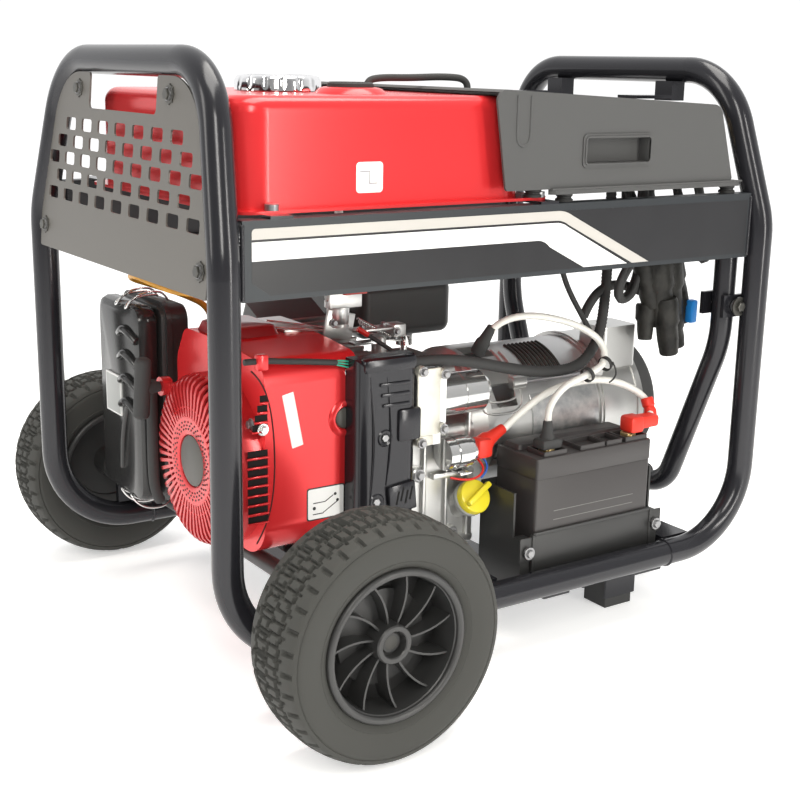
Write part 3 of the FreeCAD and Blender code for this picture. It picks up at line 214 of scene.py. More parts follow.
def make_materials():
    """The finish of every material slot in the record."""
    return {
        "black_gloss_paint": finish("black_gloss_paint", (0.0055, 0.0055, 0.005), 0.17, spread=0.2, grain=14,
                                    bump=0.03, shine=0.4),
        "channel_paint": finish("channel_paint", (0.004, 0.004, 0.0038), 0.20, grain=10, bump=0.02,
                                shine=0.16),
        "tyre_rubber": finish("tyre_rubber", (0.010, 0.0095, 0.008), 0.7, second=(0.022, 0.0205, 0.018),
                              grain=40, bump=0.25, fine=1400, shine=0.12),
        "rim_plastic": finish("rim_plastic", (0.014, 0.0138, 0.012), 0.36, grain=30, bump=0.12, fine=1800),
        "axle_steel": finish("axle_steel", (0.30, 0.29, 0.27), 0.32, metal=1, bump=0.12, brushed=(1, 8, 1)),
        "panel_paint": finish("panel_paint", (0.078, 0.070, 0.045), 0.38, spread=0.06, grain=8, bump=0.10,
                              fine=1500),
        "red_paint": finish("red_paint", (0.64, 0.0045, 0.0028), 0.15, spread=0.06, grain=6, bump=0.02,
                            fine=120,
                            coat=0.8),
        "recoil_paint": finish("recoil_paint", (0.24, 0.006, 0.005), 0.34, spread=0.10, grain=20, bump=0.03,
                               coat=0.1),
        "cap_chrome": finish("cap_chrome", (0.80, 0.80, 0.81), 0.10, metal=1, spread=0.04, bump=0.02),
        "gauge_plastic": finish("gauge_plastic", (0.018, 0.018, 0.018), 0.45, bump=0.15, fine=2000),
        "cover_plastic": finish("cover_plastic", (0.031, 0.030, 0.024), 0.38, spread=0.08, grain=12,
                                bump=0.22,
                                fine=2200),
        "control_panel_paint": finish("control_panel_paint", (0.03, 0.03, 0.032), 0.4, bump=0.08),
        "terminal_brass": finish("terminal_brass", (0.62, 0.42, 0.16), 0.3, metal=1, bump=0.05),
        "key_steel": finish("key_steel", (0.50, 0.50, 0.50), 0.36, metal=1, spread=0.2, bump=0.10,
                            brushed=(1, 14, 14)),
        "axle_paint": finish("axle_paint", (0.02, 0.02, 0.02), 0.35, bump=0.06),
        "cast_aluminium": finish("cast_aluminium", (0.48, 0.475, 0.46), 0.50, metal=0.85, spread=0.16,
                                 grain=45,
                                 bump=0.5, fine=700, rough_spread=0.25),
        "starter_steel": finish("starter_steel", (0.66, 0.65, 0.63), 0.24, metal=1, spread=0.10, grain=25,
                                bump=0.06, brushed=(1, 10, 10)),
        "rocker_paint": finish("rocker_paint", (0.05, 0.05, 0.052), 0.4, bump=0.12),
        "plug_ceramic": finish("plug_ceramic", (0.03, 0.03, 0.03), 0.5, bump=0.1),
        "flywheel_iron": finish("flywheel_iron", (0.12, 0.12, 0.12), 0.55, metal=0.8, bump=0.3),
        "oil_cap_plastic": finish("oil_cap_plastic", (0.72, 0.50, 0.006), 0.34, spread=0.06, bump=0.06),
        "air_cleaner_plastic": finish("air_cleaner_plastic", (0.012, 0.0118, 0.010), 0.18, spread=0.06,
                                      grain=10,
                                      bump=0),
        "black_plastic": finish("black_plastic", (0.008, 0.008, 0.0075), 0.36, bump=0.1, fine=1800,
                                shine=0.22),
        "lever_plastic": finish("lever_plastic", (0.35, 0.01, 0.01), 0.35, bump=0.05),
        "muffler_steel": finish("muffler_steel", (0.02, 0.02, 0.02), 0.5, metal=0.3, bump=0.2),
        "mount_rubber": finish("mount_rubber", (0.010, 0.010, 0.0095), 0.55, bump=0.15, fine=1500, shine=0.2),
        "battery_plastic": finish("battery_plastic", (0.020, 0.019, 0.016), 0.26, spread=0.08, grain=16,
                                  bump=0.04, fine=1900),
        "tray_paint": finish("tray_paint", (0.014, 0.0135, 0.012), 0.34, bump=0.06),
        "grip_rubber": finish("grip_rubber", (0.02, 0.02, 0.02), 0.7, bump=0.3),
        "lead_sheath": finish("lead_sheath", (0.62, 0.60, 0.54), 0.40, spread=0.05, bump=0.05),
    }


# ---------------------------------------------------------------- mesh helpers
def put(name, mesh, body="frame", slot=None, material=None, replaced=()):
    """Link a mesh as a piece that rides on a body and takes its finish from a slot."""
    piece = bpy.data.objects.new(name, mesh)
    bpy.context.scene.collection.objects.link(piece)
    mesh.materials.append(material or materials[slot])
    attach(piece, body)
    if replaced:
        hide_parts(*replaced)
    return piece


def from_bmesh(shape, smooth=35):
    """Turn a bmesh into a mesh, smooth shaded except over edges sharper than the angle."""
    bmesh.ops.remove_doubles(shape, verts=shape.verts, dist=1e-6)
    bmesh.ops.recalc_face_normals(shape, faces=shape.faces)
    limit = math.radians(smooth)
    for face in shape.faces:
        face.smooth = True
    for edge in shape.edges:
        edge.smooth = len(edge.link_faces) == 2 and edge.calc_face_angle(0) < limit
    mesh = bpy.data.meshes.new("piece")
    shape.to_mesh(mesh)
    shape.free()
    return mesh


def add_box(shape, low, high, bevel=0.0, turn=None):
    """A box between two corners, with rounded edges, turned about its centre if asked."""
    low, high = Vector(low), Vector(high)
    centre, size = (low + high) / 2, high - low
    made = bmesh.ops.create_cube(shape, size=1, matrix=Matrix.Diagonal((*size, 1)))["verts"]
    if bevel:
        edges = list({e for v in made for e in v.link_edges})
        cut = bmesh.ops.bevel(shape, geom=edges, offset=bevel, segments=2, profile=0.5, affect="EDGES")
        made = list({v for f in cut["faces"] for v in f.verts} | {v for v in made if v.is_valid})
    place = Matrix.Translation(centre) @ (turn.to_4x4() if turn else Matrix())
    bmesh.ops.transform(shape, matrix=place, verts=made)
    return made


def frame_of(axis):
    """Rotation that takes +Z to an axis."""
    return Vector(axis).to_track_quat("Z", "Y").to_matrix().to_4x4()


def add_lathe(shape, profile, place, axis=(0, 0, 1), steps=32, closed=False):
    """Turn (radius, height) points about an axis through a place. A closed profile makes a ring."""
    move = Matrix.Translation(Vector(place)) @ frame_of(axis)
    rings = []
    for radius, height in profile:
        if radius < 1e-7:
            rings.append([shape.verts.new(move @ Vector((0, 0, height)))])
            continue
        ring = [TURN * i / steps for i in range(steps)]
        rings.append([shape.verts.new(move @ Vector((radius * math.cos(a), radius * math.sin(a), height)))
                      for a in ring])
    pairs = list(zip(rings, rings[1:])) + ([(rings[-1], rings[0])] if closed else [])
    for one, two in pairs:
        for i in range(steps):
            k = (i + 1) % steps
            corners = [one[i % len(one)], one[k % len(one)], two[k % len(two)], two[i % len(two)]]
            corners = list(dict.fromkeys(corners))
            if len(corners) > 2:
                shape.faces.new(corners)
    return rings


def add_rod(shape, radius, start, end, steps=20, bevel=0.0):
    """A capped cylinder between two points."""
    start, end = Vector(start), Vector(end)
    length = (end - start).length
    edge = min(bevel, radius * 0.9, length / 2.1)
    profile = [(0, 0), (radius - edge, 0), (radius, edge), (radius, length - edge), (radius - edge, length),
               (0, length)]
    add_lathe(shape, profile, start, end - start, steps)


def add_prism(shape, outline, place, axis_u, axis_v, depth, bevel=0.0):
    """A flat outline given in two directions, made thick along their normal."""
    u, v = Vector(axis_u), Vector(axis_v)
    normal = u.cross(v).normalized() * depth
    low = [shape.verts.new(Vector(place) + u * a + v * b) for a, b in outline]
    high = [shape.verts.new(p.co + normal) for p in low]
    faces = [shape.faces.new(low[::-1]), shape.faces.new(high)]
    for i, p in enumerate(low):
        k = (i + 1) % len(low)
        faces.append(shape.faces.new((p, low[k], high[k], high[i])))
    if bevel:
        bmesh.ops.bevel(shape, geom=list(faces[1].edges), offset=bevel, segments=2, affect="EDGES")


def rounded_outline(width, height, radius, steps=5):
    """Outline of a rectangle with round corners, about its centre."""
    points = []
    for quarter, (sx, sy) in enumerate(((1, 1), (-1, 1), (-1, -1), (1, -1))):
        for i in range(steps + 1):
            a = math.pi / 2 * (quarter + i / steps)
            points.append((sx * (width / 2 - radius) + radius * math.cos(a),
                           sy * (height / 2 - radius) + radius * math.sin(a)))
    return points


def add_bolt(shape, place, axis, across=10, head=6, washer=True, recess=False):
    """A hex bolt head on a washer, sizes in millimetres; a recess makes it a cross-head screw."""
    place, axis = Vector(place), Vector(axis).normalized()
    if washer:
        add_rod(shape, across * 0.85 * MM, place, place + axis * 1.2 * MM, 24, 0.3 * MM)
        place = place + axis * 1.2 * MM
    if recess:
        r, h = across * 0.6 * MM, head * MM
        dome = [(0, 0), (r, 0), (r, h * 0.4), (r * 0.85, h * 0.8), (r * 0.35, h), (r * 0.3, h * 0.6), (0,
                h * 0.6)]
        add_lathe(shape, dome, place, axis, 20)
        return
    r, h = across * 0.577 * MM, head * MM
    hexagon = [(0, 0), (r, 0), (r, h * 0.85), (r * 0.86, h), (0, h)]
    add_lathe(shape, hexagon, place, axis, 6)


def bolts(name, body, slot, places, **sizes):
    """A set of bolts in one piece: each entry is a place and the direction its head faces."""
    shape = bmesh.new()
    for place, axis in places:
        add_bolt(shape, Vector(place) * MM, axis, **sizes)
    return put(name, from_bmesh(shape, 25), body, slot)


def smooth_path(points):
    """Points along the NURBS line that a list of route points gives."""
    curve = bpy.data.curves.new("route", "CURVE")
    curve.dimensions = "3D"
    spline = curve.splines.new("NURBS")
    spline.points.add(len(points) - 1)
    for spot, point in zip(spline.points, points):
        spot.co = (*point, 1)
    spline.order_u = 3
    spline.use_endpoint_u = True
    spline.resolution_u = 8
    holder = bpy.data.objects.new("route", curve)
    bpy.context.scene.collection.objects.link(holder)
    sampled = bpy.data.meshes.new_from_object(holder.evaluated_get(bpy.context.evaluated_depsgraph_get()))
    line = [v.co.copy() for v in sampled.vertices]
    bpy.data.objects.remove(holder)
    bpy.data.curves.remove(curve)
    bpy.data.meshes.remove(sampled)
    return line


def add_tube(shape, line, radius, steps=14, ribs=0.0):
    """A tube along a line of points, capped at both ends; ribs make it a corrugated conduit."""
    normal = (line[1] - line[0]).orthogonal().normalized()
    rings = []
    for i, point in enumerate(line):
        ahead = (line[min(i + 1, len(line) - 1)] - line[max(i - 1, 0)]).normalized()
        normal = (normal - ahead * normal.dot(ahead)).normalized()
        other = ahead.cross(normal)
        r = radius + (ribs if i % 2 else -ribs)
        angles = [TURN * k / steps for k in range(steps)]
        rings.append([shape.verts.new(point + (normal * math.cos(a) + other * math.sin(a)) * r) for a in angles])
    for one, two in zip(rings, rings[1:]):
        for k in range(steps):
            shape.faces.new((one[k], one[(k + 1) % steps], two[(k + 1) % steps], two[k]))
    shape.faces.new(rings[0][::-1])
    shape.faces.new(rings[-1])


def spaced(line, gap):
    """The same line with points at an even gap."""
    out, left = [line[0].copy()], gap
    for one, two in zip(line, line[1:]):
        step = (two - one).length
        while step >= left:
            one = one + (two - one) * (left / step)
            out.append(one.copy())
            step -= left
            left = gap
        left -= step
    out.append(line[-1].copy())
    return out


def wire(name, route, radius, slot, body="frame", ribs=0.0, replaced=(), material=None):
    """One cable, hose or rod along a route in millimetres."""
    line = smooth_path([Vector(p) * MM for p in route])
    if ribs:
        line = spaced(line, 2.4 * MM)
    shape = bmesh.new()
    add_tube(shape, line, radius * MM, ribs=ribs * MM)
    return put(name, from_bmesh(shape, 60), body, slot, material, replaced)


def straight(name, start, end, radius, slot, body="frame"):
    """A straight rod between two points in millimetres."""
    shape = bmesh.new()
    add_rod(shape, radius * MM, Vector(start) * MM, Vector(end) * MM, 16, 0.4 * MM)
    return put(name, from_bmesh(shape), body, slot)


# ---------------------------------------------------------------- wheels
WHEEL_X, WHEEL_Y, WHEEL_Z = -256, 344.5, 126
TYRE_RADIUS, BEAD_RADIUS = 126, 79
LUGS, STEPS_PER_LUG = 36, 10


def tread_cut(step, across):
    """Depth in millimetres of the tread grooves at one step round the tyre and one place across it."""
    inside = step % STEPS_PER_LUG
    wave = 3.2 * (1 if (step // 3) % 2 else -1)
    if abs(across) > 27:
        return 3.6 if inside < 2 else 0.0
    if abs(abs(across) - 20 - wave * 0.5) < 2.4 or abs(across - wave) < 2.0:
        return 4.2
    shifted = (inside + (5 if across > 0 else 2)) % STEPS_PER_LUG
    half_block = (inside + (0 if across > 0 else 4)) % (STEPS_PER_LUG // 2)
    if abs(across) < 19 and half_block == 0:
        return 3.4
    return 3.6 if shifted == 0 else 0.0


def tyre(name, side, body, node):
    """Tyre with a moulded sidewall, shoulder lugs and a block tread."""
    wall = [(BEAD_RADIUS, 33.8), (BEAD_RADIUS + 4, 37.0), (BEAD_RADIUS + 8, 39.5), (BEAD_RADIUS + 9, 39.0),
            (94, 41.0), (102, 42.2), (110, 42.0), (113, 41.4), (114, 40.4), (115, 41.2), (119, 39.8)]
    crown = [27.5 + 2.3 * i for i in (4, 3, 2, 1, 0)] + [25.5 - 1.5 * i for i in range(18)]
    crown += [-a for a in reversed(crown) if a > 0.01]
    shape = bmesh.new()
    place = Matrix.Translation(Vector((WHEEL_X, side * WHEEL_Y, WHEEL_Z)) * MM) @ frame_of((0, side, 0))
    rings = []
    for radius, height in wall:
        rings.append([(radius, height)] * (LUGS * STEPS_PER_LUG))
    for across in crown:
        top = TYRE_RADIUS - 0.0055 * max(0, abs(across) - 6) ** 2
        rings.append([(top - tread_cut(i, across), across) for i in range(LUGS * STEPS_PER_LUG)])
    for radius, height in reversed(wall):
        rings.append([(radius, -height)] * (LUGS * STEPS_PER_LUG))
    inner = [(BEAD_RADIUS, -26), (100, -30), (112, -24), (112, 24), (100, 30), (BEAD_RADIUS, 26)]
    rings += [[point] * (LUGS * STEPS_PER_LUG) for point in inner]
    grid = []
    for ring in rings:
        count = len(ring)
        grid.append([shape.verts.new(place @ Vector((r * MM * math.cos(TURN * i / count),
                                                     r * MM * math.sin(TURN * i / count), h * MM)))
                     for i, (r, h) in enumerate(ring)])
    for one, two in zip(grid, grid[1:] + grid[:1]):
        for i in range(len(one)):
            k = (i + 1) % len(one)
            shape.faces.new((one[i], one[k], two[k], two[i]))
    put(name, from_bmesh(shape, 42), body, "tyre_rubber", replaced=[node])


def rim(name, side, body, node):
    """Moulded rim: rolled bead ring, deep barrel, stepped web, curved ribs and an open hub."""
    shape = bmesh.new()
    centre, out = Vector((WHEEL_X, side * WHEEL_Y, WHEEL_Z)) * MM, (0, side, 0)
    lip = [(BEAD_RADIUS - 3.5 + 4.2 * math.cos(a), 35.5 + 4.2 * math.sin(a))
           for a in [math.radians(d) for d in range(-40, 220, 20)]]
    barrel = [(BEAD_RADIUS - 0.3, 33.0)] + lip + [(70.5, 33), (69.5, 14), (68.5, -1), (50.5, 1.5), (49.5,
                                                                                                    6.5),
                                                   (20.5, 8.5), (20.0, 30.5), (18.8, 32), (14.6,
                                                                                           32), (13.6, 31),
                                                   (13.4, 12), (7.9, 12), (7.9, -30), (20, -30), (20.5, 4),
                                                   (49, 1.0), (50, -3), (70, -6), (71, -33)]
    back_lip = [(r, -h) for r, h in reversed(lip)]
    profile = barrel + back_lip + [(BEAD_RADIUS - 0.3, -33.0)]
    add_lathe(shape, [(r * MM, h * MM) for r, h in profile], centre, out, 96, closed=True)
    turn = Matrix.Translation(centre) @ frame_of(out)
    for i in range(11):
        start = TURN * i / 11
        low, high = [], []
        for k in range(7):
            radius = 19.5 + (69.5 - 19.5) * k / 6
            angle = start + 0.22 * (k / 6) ** 1.5
            foot = 6 if radius < 49 else 0
            crest = 23.0 + 5.0 * (k / 6)
            for half, row in ((-1.1, low), (1.1, high)):
                nudge = half / radius
                spot = [math.cos(angle + nudge) * radius, math.sin(angle + nudge) * radius]
                row.append((turn @ (Vector((*spot, foot)) * MM), turn @ (Vector((*spot, crest)) * MM)))
        rows = [[shape.verts.new(p) for p in (a[0], a[1], b[1], b[0])] for a, b in zip(low, high)]
        for one, two in zip(rows, rows[1:]):
            for k in range(4):
                shape.faces.new((one[k], one[(k + 1) % 4], two[(k + 1) % 4], two[k]))
        shape.faces.new(rows[0][::-1])
        shape.faces.new(rows[-1])
    put(name, from_bmesh(shape, 32), body, "rim_plastic", replaced=[node])


def wheels():
    for side, end in ((-1, "front"), (1, "back")):
        tyre(f"treaded_tyre_{end}", side, f"wheel_{end}", f"tyre_{end}")
        rim(f"ribbed_rim_{end}", side, f"wheel_{end}", f"rim_{end}")


# ---------------------------------------------------------------- frame, stickers, tank and cover
CHANNEL_FACE, CHANNEL_LOW = 243, 448
WHITE = (0.86, 0.86, 0.85)


def decal(name, outline, face, material, body="frame", depth=0.15, slot="channel_paint"):
    """A thin printed film on a plane: face is the plane's origin and its two directions, in millimetres."""
    origin, u, v = face
    shape = bmesh.new()
    add_prism(shape, [(a * MM, b * MM) for a, b in outline], Vector(origin) * MM, u, v, depth * MM)
    return put(name, from_bmesh(shape), body, slot, material)


def arc(centre, radius, start, end, steps=8):
    """Points of an arc, angles in degrees."""
    angles = [math.radians(start + (end - start) * i / steps) for i in range(steps + 1)]
    return [(centre[0] + radius * math.cos(a), centre[1] + radius * math.sin(a)) for a in angles]


def channel_graphics():
    """Dark film with a pale stripe over a white band, both running down to the right."""
    white = finish("film_white", WHITE, 0.35, spread=0.02, bump=0.02)
    grey = finish("film_grey", (0.50, 0.48, 0.45), 0.35, spread=0.06, grain=3, bump=0.02)
    dark = finish("film_dark", (0.018, 0.018, 0.020), 0.30, spread=0.05, bump=0.02)
    base = arc((-334, 514), 4, 180, 90) + [(343, 518), (343, 453), (-318, 453), (-338, 466)]
    stripe = [(-338, 507.6)] + arc((-334, 514), 4, 180, 90) + [(40, 518)] + arc((40, 478), 40, 88, 58, 6)
    stripe += [(181, 453.4), (155, 453.4)] + arc((38, 476), 31.5, 56, 90, 6)
    band = [(-338, 487), (-338, 505.2)] + arc((38, 475), 30, 90, 57, 6) + [(147, 453.4), (81, 453.4)]
    band += arc((12, 463), 24, 42, 90, 6)
    for side, end in ((-1, "near"), (1, "far")):
        u = (-side, 0, 0)
        plane = ((0, side * (CHANNEL_FACE + 0.02), 0), u, (0, 0, 1))
        top = ((0, side * (CHANNEL_FACE + 0.2), 0), u, (0, 0, 1))
        decal(f"channel_film_{end}", base, plane, dark)
        decal(f"channel_stripe_{end}", stripe, top, grey)
        decal(f"channel_band_{end}", band, top, white)


def weld_beads():
    """Rippled fillet welds where the channels meet the end hoops."""
    shape = bmesh.new()
    for sx in (-1, 1):
        for sy in (-1, 1):
            for drop in (0, 17):
                x = sx * (348 - drop * 0.2)
                line = [Vector((x, sy * (242.5 - drop), z)) * MM for z in
                        [CHANNEL_LOW + 2 + 1.9 * i for i in range(39)]]
                add_tube(shape, line, 2.4 * MM, steps=8, ribs=0.35 * MM)
    put("weld_beads", from_bmesh(shape, 60), "frame", "black_gloss_paint")


def rubber_bushes():
    """Rubber bushes and screws between the channels and the tank and cover."""
    shape = bmesh.new()
    screws = []
    for side in (-1, 1):
        for x, y, low, high in ((20, 222, 532.2, 540.8), (62, 226, 526.2, 534.8), (322, 226, 526.2, 534.8)):
            place = Vector((x, side * y, low)) * MM
            tall = (high - low) * MM
            profile = [(0, 0), (0.010, 0), (0.010, tall * 0.3), (0.008, tall * 0.45), (0.008, tall * 0.6),
                       (0.0095, tall * 0.75), (0.0095, tall), (0, tall)]
            add_lathe(shape, profile, place, (0, 0, 1), 24)
            screws.append(((x, side * y, high + 6.1), (0, 0, 1)))
    put("rubber_bushes", from_bmesh(shape), "frame", "mount_rubber")
    bolts("cover_screws", "frame", "axle_steel", screws[1:3] + screws[4:], across=7, head=4, recess=True)


def tank_details():
    """Sticker, gauge boss and a chrome cap with grip flutes."""
    white = finish("sticker_white", WHITE, 0.4, spread=0.02, bump=0.02)
    plane = ((-188.5, -215.05, 559.5), (1, 0, 0), (0, 0, 1))
    decal("tank_sticker", rounded_outline(32, 31, 4), plane, white, slot="red_paint")
    line = finish("sticker_grey", (0.25, 0.25, 0.26), 0.5, spread=0.02, bump=0)
    for i, spot in enumerate(((-6, 6, 12, 1.0), (0, 0, 1.0, 12), (4, -6, 10, 1.0))):
        bar = ((-188.5 + spot[0], -215.22, 559.5 + spot[1]), (1, 0, 0), (0, 0, 1))
        decal(f"tank_sticker_line_{i}", rounded_outline(spot[2], spot[3], 0.4, 1), bar, line,
              slot="red_paint")
    shape = bmesh.new()
    add_lathe(shape, [(0.0254, 0), (0.039, 0), (0.034, 0.005), (0.0285, 0.0066), (0.0254, 0.0066)],
              Vector((-158, -128, 640)) * MM, (0, 0, 1), 48, closed=True)
    put("gauge_boss", from_bmesh(shape), "frame", "red_paint")
    shape = bmesh.new()
    top = Vector((-158, -128, 649)) * MM
    add_lathe(shape, [(0.0245, -0.003), (0.0245, 0.001), (0.0225, 0.0028), (0.019, 0.0028), (0.018, 0.0012),
                      (0, 0.0012)], top, (0, 0, 1), 40)
    put("gauge_bezel", from_bmesh(shape), "frame", "gauge_plastic")
    shape = bmesh.new()
    steps, centre = 160, Vector((-197, -40, 640)) * MM
    profile = [(48.0, 0.8, 0), (48.0, 4, 0.4), (47.6, 6, 1.0), (47.2, 12, 1.0), (45.4, 15.4, 0.5), (42, 17,
                                                                                                    0),
               (38, 17.4, 0), (35, 16.4, 0), (30, 16.4, 0), (0.01, 18, 0)]
    rings = []
    for radius, height, flute in profile:
        ring = []
        for i in range(steps):
            a = TURN * i / steps
            r = radius - 1.5 * flute * max(0, math.cos(16 * a)) ** 3
            ring.append(shape.verts.new(centre + Vector((r * math.cos(a), r * math.sin(a), height)) * MM))
        rings.append(ring)
    for one, two in zip(rings, rings[1:]):
        for i in range(steps):
            k = (i + 1) % steps
            shape.faces.new((one[i], one[k], two[k], two[i]))
    shape.faces.new(rings[0][::-1])
    put("fluted_cap", from_bmesh(shape, 40), "fuel_cap", "cap_chrome", replaced=["fuel_cap"])


def cover_details():
    """Raised rim round the hand pocket, U shaped moulding and a lip bead."""
    face = 235
    shape = bmesh.new()
    for side, ledges in ((-1, ((37, 106, 1.6), (32, 101, 2.8))), (1, ((37, 106, 1.6),))):
        for tall, wide, proud in ledges:
            outer = rounded_outline(wide * MM, tall * MM, 6 * MM)
            inner = rounded_outline(97 * MM, 28 * MM, 4 * MM)
            centre = Vector((131, side * face, 581.5)) * MM
            rows = []
            for outline, depth in ((inner, 0), (outer, 0), (outer, proud), (inner, proud)):
                rows.append([shape.verts.new(centre + Vector((a, side * depth * MM, b))) for a, b in outline])
            count = len(rows[0])
            for one, two in zip(rows, rows[1:] + rows[:1]):
                for i in range(count):
                    k = (i + 1) % count
                    shape.faces.new((one[i], one[k], two[k], two[i]))
    put("pocket_rim", from_bmesh(shape, 30), "frame", "cover_plastic")
    for side, end in ((-1, "near"), (1, "far")):
        y = side * (face + 0.1)
        route = [(-16, y, 641), (-16, y, 622), (-16, y, 602), (-15, y, 592), (-7, y, 587), (1, y, 592),
                 (2.5, y, 602), (2.5, y, 622), (2.5, y, 641)]
        wire(f"cover_groove_{end}", route, 1.3, "cover_plastic")
        edge = [(34, y * 1.012, 541), (120, y * 1.012, 541), (220, y * 1.012, 541), (334, y * 1.012, 541)]
        wire(f"cover_lip_bead_{end}", edge, 1.1, "cover_plastic")


SECTIONS_BODY = (channel_graphics, weld_beads, rubber_bushes, tank_details, cover_details)


# ---------------------------------------------------------------- recoil starter and fan shroud
SHAFT_Y, SHAFT_Z = -50, 236


def recoil_start():
    """Recoil cover of radial ribs between a plain centre and an outer band, with its badge disc and guide."""
    shape = bmesh.new()
    centre = Vector((-274, SHAFT_Y, SHAFT_Z)) * MM
    ring = [(94.5, 0), (98, 0), (98, 24), (97, 27), (94.5, 27)]
    add_lathe(shape, [(r * MM, h * MM) for r, h in ring], centre, (-1, 0, 0), 96, closed=True)
    dish = [(0, 38), (29.6, 38), (30.4, 40.6), (33, 41.8), (50, 41.8), (51, 41.2), (51, 37.5), (0, 35)]
    add_lathe(shape, [(r * MM, h * MM) for r, h in dish], centre, (-1, 0, 0), 96)
    middle = [(60.2, 38.6), (62, 38.6), (62, 40.9), (60.2, 40.9)]
    add_lathe(shape, [(r * MM, h * MM) for r, h in middle], centre, (-1, 0, 0), 96, closed=True)
    rib = [(49, 38.4), (49, 41.6), (80, 41.6), (88, 40.2), (94, 35.5), (97.6, 28), (97.8, 25), (94.6, 25),
           (94.4, 28), (91, 33.6), (86, 37), (79, 38.4)]
    count = 54
    turn = Matrix.Translation(centre) @ frame_of((-1, 0, 0))
    for i in range(count):
        spin = turn @ Matrix.Rotation(TURN * i / count, 4, "Z")
        sides = []
        for half in (-1, 1):
            sides.append([shape.verts.new(spin @ (Vector((r, half * (1.0 + 0.0125 * r), h)) * MM))
                          for r, h in rib])
        shape.faces.new(sides[0][::-1])
        shape.faces.new(sides[1])
        for k in range(len(rib)):
            n = (k + 1) % len(rib)
            shape.faces.new((sides[0][k], sides[0][n], sides[1][n], sides[1][k]))
    guide = [(4.2, -3), (9, -3), (11, -1), (11, 10), (4.2, 10)]
    add_lathe(shape, [(r * MM, h * MM) for r, h in guide], Vector((-306, 27, 306)) * MM, (-1, 0, 0), 28,
              closed=True)
    add_box(shape, Vector((-310, 8, 292)) * MM, Vector((-302, 22, 312)) * MM, 2 * MM)
    for i in range(3):
        angle = TURN * (i / 3 + 0.07)
        foot = Vector((-276, SHAFT_Y + 101 * math.cos(angle), SHAFT_Z + 101 * math.sin(angle))) * MM
        add_rod(shape, 7 * MM, foot + Vector((0.002, 0, 0)), foot - Vector((0.006, 0, 0)), 20, 1 * MM)
    put("recoil_grille", from_bmesh(shape, 30), "frame", "recoil_paint", replaced=["recoil_cover"])
    shape = bmesh.new()
    badge = [(0, 2.4), (26.5, 2.4), (28.8, 1.4), (29.2, 0), (0, 0)]
    add_lathe(shape, [(r * MM, h * MM) for r, h in badge], centre + Vector((-0.0385, 0, 0)), (-1, 0, 0), 64)
    put("recoil_disc", from_bmesh(shape), "frame", "gauge_plastic",
        finish("disc_grey", (0.075, 0.073, 0.066), 0.42, spread=0.08, bump=0.1))
    shape = bmesh.new()
    for radius, many in ((36.5, 34), (40.5, 34), (44.5, 34)):
        for i in range(many):
            angle = TURN * (i + (0.5 if radius == 40.5 else 0)) / many
            spot = Vector((-315.9, SHAFT_Y + radius * math.cos(angle),
                           SHAFT_Z + radius * math.sin(angle))) * MM
            add_rod(shape, 1.15 * MM, spot, spot - Vector((0.0004, 0, 0)), 10)
    put("recoil_dots", from_bmesh(shape), "frame", "gauge_plastic")
    bolts("recoil_bolts", "frame", "axle_steel",
          [((-282.2, SHAFT_Y + 101 * math.cos(a), SHAFT_Z + 101 * math.sin(a)), (-1, 0, 0))
           for a in [TURN * (i / 3 + 0.07) for i in range(3)]], across=8, head=4)


def recoil_rope():
    """Rope from inside the cover through the guide into the grip."""
    route = [Vector((x, 27, 306)) * MM for x in [-296 - i for i in range(0, 31)]]
    shape = bmesh.new()
    add_tube(shape, route, 2.1 * MM, steps=12, ribs=0.15 * MM)
    rope = bpy.data.objects.new("starter_rope", from_bmesh(shape, 60))
    rope.data.materials.append(finish("rope", (0.05, 0.05, 0.05), 0.8, bump=0.6, fine=1500))
    bpy.context.scene.collection.objects.link(rope)
    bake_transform(rope)


